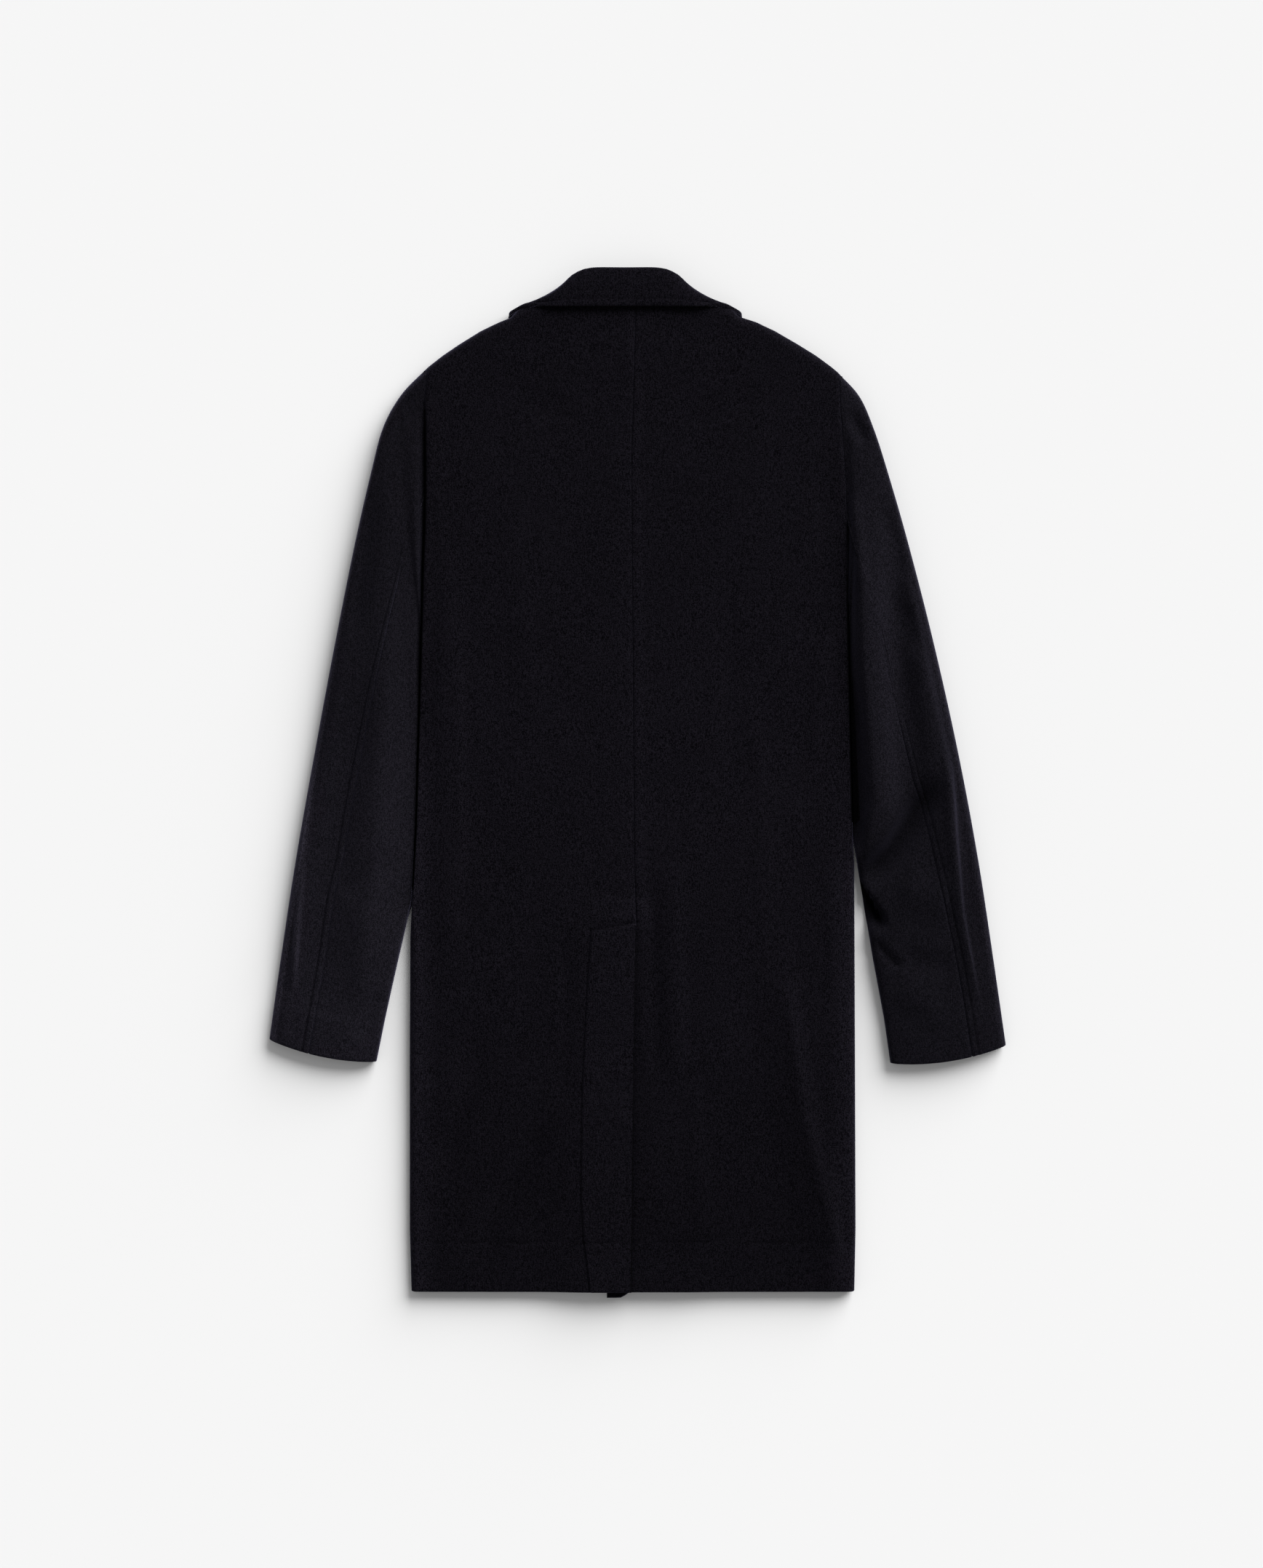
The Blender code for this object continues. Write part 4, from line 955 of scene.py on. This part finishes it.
def sleeve_piece(name, part):
    """The top sleeve wraps the outer edge, the under sleeve the inner one."""
    side = SIDE_OF[name]
    rows = SLEEVES[name]
    lengths = []
    for a, b in zip(rows, rows[1:]):
        lengths.append(max(math.dist(a[0:2], b[0:2]), math.dist(a[2:4], b[2:4])))
    angles = even(72.0, -90.0, 18.0)
    grid = []
    places = [(0.0, depth) for depth in TURNED_IN] + [(t, 0.0) for t in steps(lengths, STEP)]
    for t, turned in places:
        _, ix, iup, ox, oup, _, inner_roll, seam = sleeve_frame(name, t)
        width = math.hypot(ox - ix, oup - iup)
        row = []
        if part == "top":
            n = max(4, round(60.0 / STEP))
            near = [0.0, 0.8, 1.8, 3.2, 4.6, 5.6, 6.3, 7.0, 7.8, 9.2]
            end = seam + near[-1] / width
            row += [("top", seam + d / width) for d in near]
            row += [("top", mix(end, 1.0, k / n)) for k in range(1, n + 1)]
            row += [("outer", angle) for angle in angles]
            row += [("bottom", mix(1.0, FRONT_SEAM, k / 14)) for k in range(1, 15)]
        else:
            n = max(4, round(64.0 / STEP))
            near = [0.0, 0.8, 1.8, 3.2]
            end = seam - near[-1] / width
            row += [("top", seam - d / width) for d in near]
            row += [("top", mix(end, 4.2 / width, k / n)) for k in range(1, n + 1)]
            row += [("top", d / width) for d in (3.0, 2.0, 1.0, 0.0)]
            row += [("inner", angle) for angle in angles]
            row += [("bottom", mix(0.0, FRONT_SEAM, k / 6)) for k in range(1, 7)]
        points = [sleeve_point(name, t, kind, value) for kind, value in row]
        x, up, z = points[0]
        points = [(x, up, z - depth) for depth in TURNED_IN] + points
        if turned:
            grid.append([(x, up, z - turned) if z > HEAD_TURNED_UP else None
                         for x, up, z in points])
        else:
            grid.append(points)

    def rim(x, up, z):
        sharp = mix(SEAM_RIM, 0.25, soft((up - SEAM_FROM[name] + 60.0) / 60.0))
        return HEM_RIM if up < CUFF_UP else sharp

    # painted light and shade on the sleeve, carried to the wool's colour
    def painted_light_and_pressing(x, up, column):
        low, high = SLEEVE_PAINTED_LIGHT[name]
        # painted light: lighter or darker from the cuff to the head
        light = mix(low, high, soft((up - 260.0) / 560.0))
        # painted shade in the crevice beside the body
        dark, breadth = reading(CREVICE_PAINTED_SHADE[name], up)
        light *= 1.0 - dark * soft(1.1 - abs(x - armhole_x(side, up)) / breadth)
        # painted highlight and painted shade along the fold lines
        for shade in SLEEVE_PAINTED_LINES[name]:
            light *= 1.0 + fold_height(x, up, shade)
        # painted highlight along the outer edge
        if part == "top" and column >= 2 + len(near) + n:
            light *= OUTER_PAINTED_HIGHLIGHT[name]
        # painted shade along the seam's edge and its stitching
        seen = soft((SEAM_FROM[name] - up) / 90.0)
        if column < 3:
            light *= 1.0 - 0.45 * seen
        elif part == "top" and 3 + near.index(5.6) <= column <= 3 + near.index(7.0):
            light *= 1.0 - 0.42 * seen
        return light

    return shell("sleeve_%s_%s_cloth" % (name, part), grid, WALL, rim,
                 (len(grid) // 2, 4), painted_light_and_pressing=painted_light_and_pressing)


# ---- the collar
def collar_section(t):
    """The points of one section, from the neck seam over the fold to the fall's edge."""
    flat = [[c for point in row for c in point] for row in COLLAR]
    numbers = spline(flat, t)
    neck, fold, fall, edge = (Vector(numbers[k:k + 3]) for k in (0, 3, 6, 9))
    outward = (fold - 0.5 * (neck + fall)).normalized()
    across = fall - neck
    across = (across - outward * across.dot(outward)).normalized()
    centre = fold - outward * COLLAR_FOLD_RADIUS
    low = centre - across * COLLAR_FOLD_RADIUS
    high = centre + across * COLLAR_FOLD_RADIUS
    points = [neck.lerp(low, s / 6) for s in range(6)]
    for angle in even(-90.0, 90.0, 20.0):
        a = math.radians(angle)
        points.append(centre + (outward * math.cos(a) + across * math.sin(a))
                      * COLLAR_FOLD_RADIUS)
    length = (edge - high).length
    near_edge = [length - k for k in (7.2, 6.2, 5.2, 4.2, 2.8, 1.4, 0.0)]
    for d in even(2.0, length - 8.4, 2.6) + near_edge:
        s = max(0.02, d / length)
        bulge = fall - 0.5 * (high + edge)
        q = high.lerp(edge, s) + bulge * 4.0 * s * (1.0 - s)
        lift = groove(length - d - 5.2, 0.35, 1.0) + 0.25 * soft((5.0 - length + d) / 2.0)
        lift += 0.25 * wander(q.x / 24.0, q.y / 18.0, 5.0)
        lift += 3.2 * soft((2.9 - t) / 1.2) * soft((d - length + 12.0) / 12.0)
        lift -= 3.0 * soft((3.4 - t) / 1.2) * soft((d - length + 12.0) / 12.0)
        q.z += lift
        q.y -= 2.0 * soft((3.6 - t) / 1.2) * soft((d - length + 14.0) / 14.0)
        points.append(q)
    tuck = within(t, 2.5, 6.0, 0.6)
    for down, sink in ((1.1, 0.2), (2.2, 0.6), (3.4, 1.2)):
        points.append(q + Vector((0.0, -0.1 - down * tuck, -0.06 - sink * tuck)))
    return points


def collar_piece():
    places = steps([32.0, 30.0, 22.0, 16.0, 16.0, 18.0, 22.0, 24.0], STEP)
    count = len(collar_section(places[0]))
    lowest = 0.5 * COLLAR_WALL + 0.1
    grid = []
    for side, t in [(-1, t) for t in reversed(places[1:])] + [(1, t) for t in places]:
        points = resample(collar_section(t), count)
        wide = 1.0 + COLLAR_WIDER * soft(t / 2.0)
        grid.append([(NECK_CENTRE + side * wide * q.x, q.y, max(lowest, q.z)) for q in points])

    def painted_light_and_pressing(x, up, column):
        # painted shade along the fall's edge and its tucked columns, in the middle of the collar
        dark = {0: 0.0, 1: 0.4}.get(max(0, column - count + 5), 0.85)
        return 1.0 - dark * soft((88.0 - abs(x - NECK_CENTRE)) / 8.0)

    return shell("collar_cloth", grid, COLLAR_WALL, lambda x, up, z: FOLD_RIM,
                 (len(grid) // 2, count - 12), shift=0.5 * COLLAR_WALL, painted_light_and_pressing=painted_light_and_pressing)


def resample(points, count):
    """The same number of points in each section; those of the fold and the edge stay."""
    if len(points) == count:
        return points
    keep, tail = 16, 10
    body = points[keep:-tail]
    last = count - keep - tail - 1
    out = []
    for k in range(last + 1):
        t = k * (len(body) - 1) / last
        i = min(len(body) - 2, int(t))
        out.append(body[i].lerp(body[i + 1], t - i))
    return points[:keep] + out + points[-tail:]


# ---- the materials
def link(tree, a, a_socket, b, b_socket):
    tree.links.new(a.outputs[a_socket], b.inputs[b_socket])


def adjust(node, values):
    for socket, value in values.items():
        node.inputs[socket].default_value = value


def new_material(name):
    mat = bpy.data.materials.new(name)
    mat.use_nodes = True
    return mat, mat.node_tree, mat.node_tree.nodes["Principled BSDF"]


def noise_node(tree, scale, detail, stretch=(1.0, 1.0, 1.0)):
    where = tree.nodes.new("ShaderNodeTexCoord")
    mapping = tree.nodes.new("ShaderNodeMapping")
    tex = tree.nodes.new("ShaderNodeTexNoise")
    adjust(mapping, {"Scale": stretch})
    adjust(tex, {"Scale": scale, "Detail": detail, "Roughness": 0.5})
    link(tree, where, "Object", mapping, "Vector")
    link(tree, mapping, "Vector", tex, "Vector")
    return tex


def ramp_node(tree, stops):
    node = tree.nodes.new("ShaderNodeValToRGB")
    for element, (position, colour) in zip(node.color_ramp.elements, stops):
        element.position = position
        element.color = (*colour, 1.0)
    return node


def weighted(tree, parts):
    """The sum of some noises, each with its weight."""
    total = None
    for tex, weight in parts:
        part = tree.nodes.new("ShaderNodeMath")
        part.operation = "MULTIPLY"
        tree.links.new(tex.outputs["Fac"], part.inputs[0])
        part.inputs[1].default_value = weight
        if total is not None:
            both = tree.nodes.new("ShaderNodeMath")
            both.operation = "ADD"
            tree.links.new(total, both.inputs[0])
            tree.links.new(part.outputs[0], both.inputs[1])
            part = both
        total = part.outputs[0]
    return total


def wool_material(name, sheen, low=(0.0004, 0.0003, 0.0006), high=(0.0071, 0.0062, 0.0090)):
    """Wool coating with a short nap; its colour is scaled by the painted light and shade that each
    mesh carries.
    """
    mat, tree, shader = new_material(name)
    fibre = noise_node(tree, 1400.0, 1.0, (1.0, 0.62, 1.0))
    warp = noise_node(tree, 900.0, 1.0, (1.0, 0.28, 1.0))
    weft = noise_node(tree, 900.0, 1.0, (0.34, 1.0, 1.0))
    broad = noise_node(tree, 11.0, 2.0)

    tone = weighted(tree, [(fibre, 0.58), (warp, 0.26), (weft, 0.12), (broad, 0.04)])
    ramp = ramp_node(tree, [(0.42, low), (0.60, high)])
    tree.links.new(tone, ramp.inputs["Fac"])
    # the painted light and shade, with the back's pressing, from the mesh's point attribute
    painted_light_and_pressing = tree.nodes.new("ShaderNodeAttribute")
    painted_light_and_pressing.attribute_name = "painted_light_and_pressing"
    lit = tree.nodes.new("ShaderNodeVectorMath")
    lit.operation = "SCALE"
    link(tree, ramp, "Color", lit, "Vector")
    link(tree, painted_light_and_pressing, "Fac", lit, "Scale")
    link(tree, lit, "Vector", shader, "Base Color")

    bump = tree.nodes.new("ShaderNodeBump")
    adjust(bump, {"Strength": 0.5, "Distance": 0.0008})
    tree.links.new(weighted(tree, [(fibre, 0.6), (warp, 0.35)]), bump.inputs["Height"])
    link(tree, bump, "Normal", shader, "Normal")
    adjust(shader, {"Roughness": 0.95, "Specular IOR Level": 0.02, "Sheen Weight": sheen,
                    "Sheen Roughness": 0.40, "Sheen Tint": (0.62, 0.58, 0.92, 1.0)})
    return mat


def button_material():
    mat, tree, shader = new_material("navy_horn")
    ramp = ramp_node(tree, [(0.35, (0.004, 0.004, 0.007)), (0.7, (0.011, 0.010, 0.014))])
    link(tree, noise_node(tree, 160.0, 3.0), "Fac", ramp, "Fac")
    link(tree, ramp, "Color", shader, "Base Color")
    adjust(shader, {"Roughness": 0.38})
    return mat


# ---- the pieces
WOOL = {
    "body": wool_material("navy_wool", 0.12),
    # the sleeves' copy of the wool: lighter, painted light for how the sleeves catch the light,
    # with a softer grain and more sheen
    "sleeve": wool_material("navy_wool_sleeve_painted_light", 0.18,
                            (0.0013, 0.0012, 0.0017), (0.0068, 0.0061, 0.0086)),
    # a copy of the wool without sheen, for the faces painted darkest: painted shade in crevices,
    # seams and edges
    "painted_shade": wool_material("navy_wool_painted_shade", 0.0),
}
HORN = button_material()


def dress(piece, node, wool="body"):
    piece.data.materials.append(WOOL[wool])
    # the wool without sheen, for the faces marked as painted shade
    if any(face.material_index for face in piece.data.polygons):
        piece.data.materials.append(WOOL["painted_shade"])
    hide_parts(node)
    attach(piece, "root")


REACH = 60.0  # of the surface from the middle, in metres
FLOOR_DROP = 0.0002
floor_mesh = bpy.data.meshes.new("floor")
floor_mesh.from_pydata([(REACH * x, REACH * y, 0) for x, y in ((-1, -1), (1, -1), (1, 1), (-1, 1))],
                       [], [(0, 1, 2, 3)])
floor = add_object("floor", floor_mesh)
floor.location.z = -FLOOR_DROP

dress(back_piece(-1), "back_left")
dress(back_piece(1), "back_right")
dress(front_piece(-1), "front_left")
dress(front_piece(1), "front_right")
for sleeve in ("left", "right"):
    dress(sleeve_piece(sleeve, "top"), "sleeve_%s_top" % sleeve,
          wool="sleeve")
    dress(sleeve_piece(sleeve, "under"), "sleeve_%s_under" % sleeve,
          wool="sleeve")
dress(collar_piece(), "collar")
for number in (1, 2, 3):
    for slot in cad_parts["button_%d" % number].material_slots:
        slot.material = HORN

# ---- surface, light, camera
paper, _, paper_shader = new_material("pale_paper")
adjust(paper_shader, {"Base Color": (0.80, 0.80, 0.80, 1.0), "Roughness": 1.0,
                      "Specular IOR Level": 0.0})
floor_mesh.materials.append(paper)

WORLD_STRENGTH = 0.364
KEY_ENERGY = 6.16
KEY_ANGLE = 54.0
KEY_FROM = Vector((0.57, 0.74, 0.41))
scene = bpy.context.scene
scene.view_settings.view_transform = "Standard"
scene.view_settings.look = "None"
world = bpy.data.worlds.new("studio")
scene.world = world
world.use_nodes = True
adjust(world.node_tree.nodes["Background"],
       {"Color": (1.0, 1.0, 1.0, 1.0), "Strength": WORLD_STRENGTH})
key_data = bpy.data.lights.new("softbox", "SUN")
key_data.energy = KEY_ENERGY
key_data.angle = math.radians(KEY_ANGLE)
add_object("softbox", key_data).rotation_euler = KEY_FROM.to_track_quat("Z", "Y").to_euler()

DISTANCE = 4.0  # of the camera from the coat's upper face
UPPER_FACE = 0.015
IMAGE_ROWS = 2155
ROW = 0.71 * MM  # of the image, on the coat
SENSOR = 36.0
camera_data = bpy.data.cameras.new("camera")
camera_data.sensor_fit = "VERTICAL"
camera_data.sensor_height = SENSOR
camera_data.lens = SENSOR * DISTANCE / (IMAGE_ROWS * ROW)
camera_data.clip_end = 50.0
camera = add_object("camera", camera_data)
camera.location = (-0.0060, -0.0014, DISTANCE + UPPER_FACE)
scene.camera = camera

bpy.context.view_layer.update()
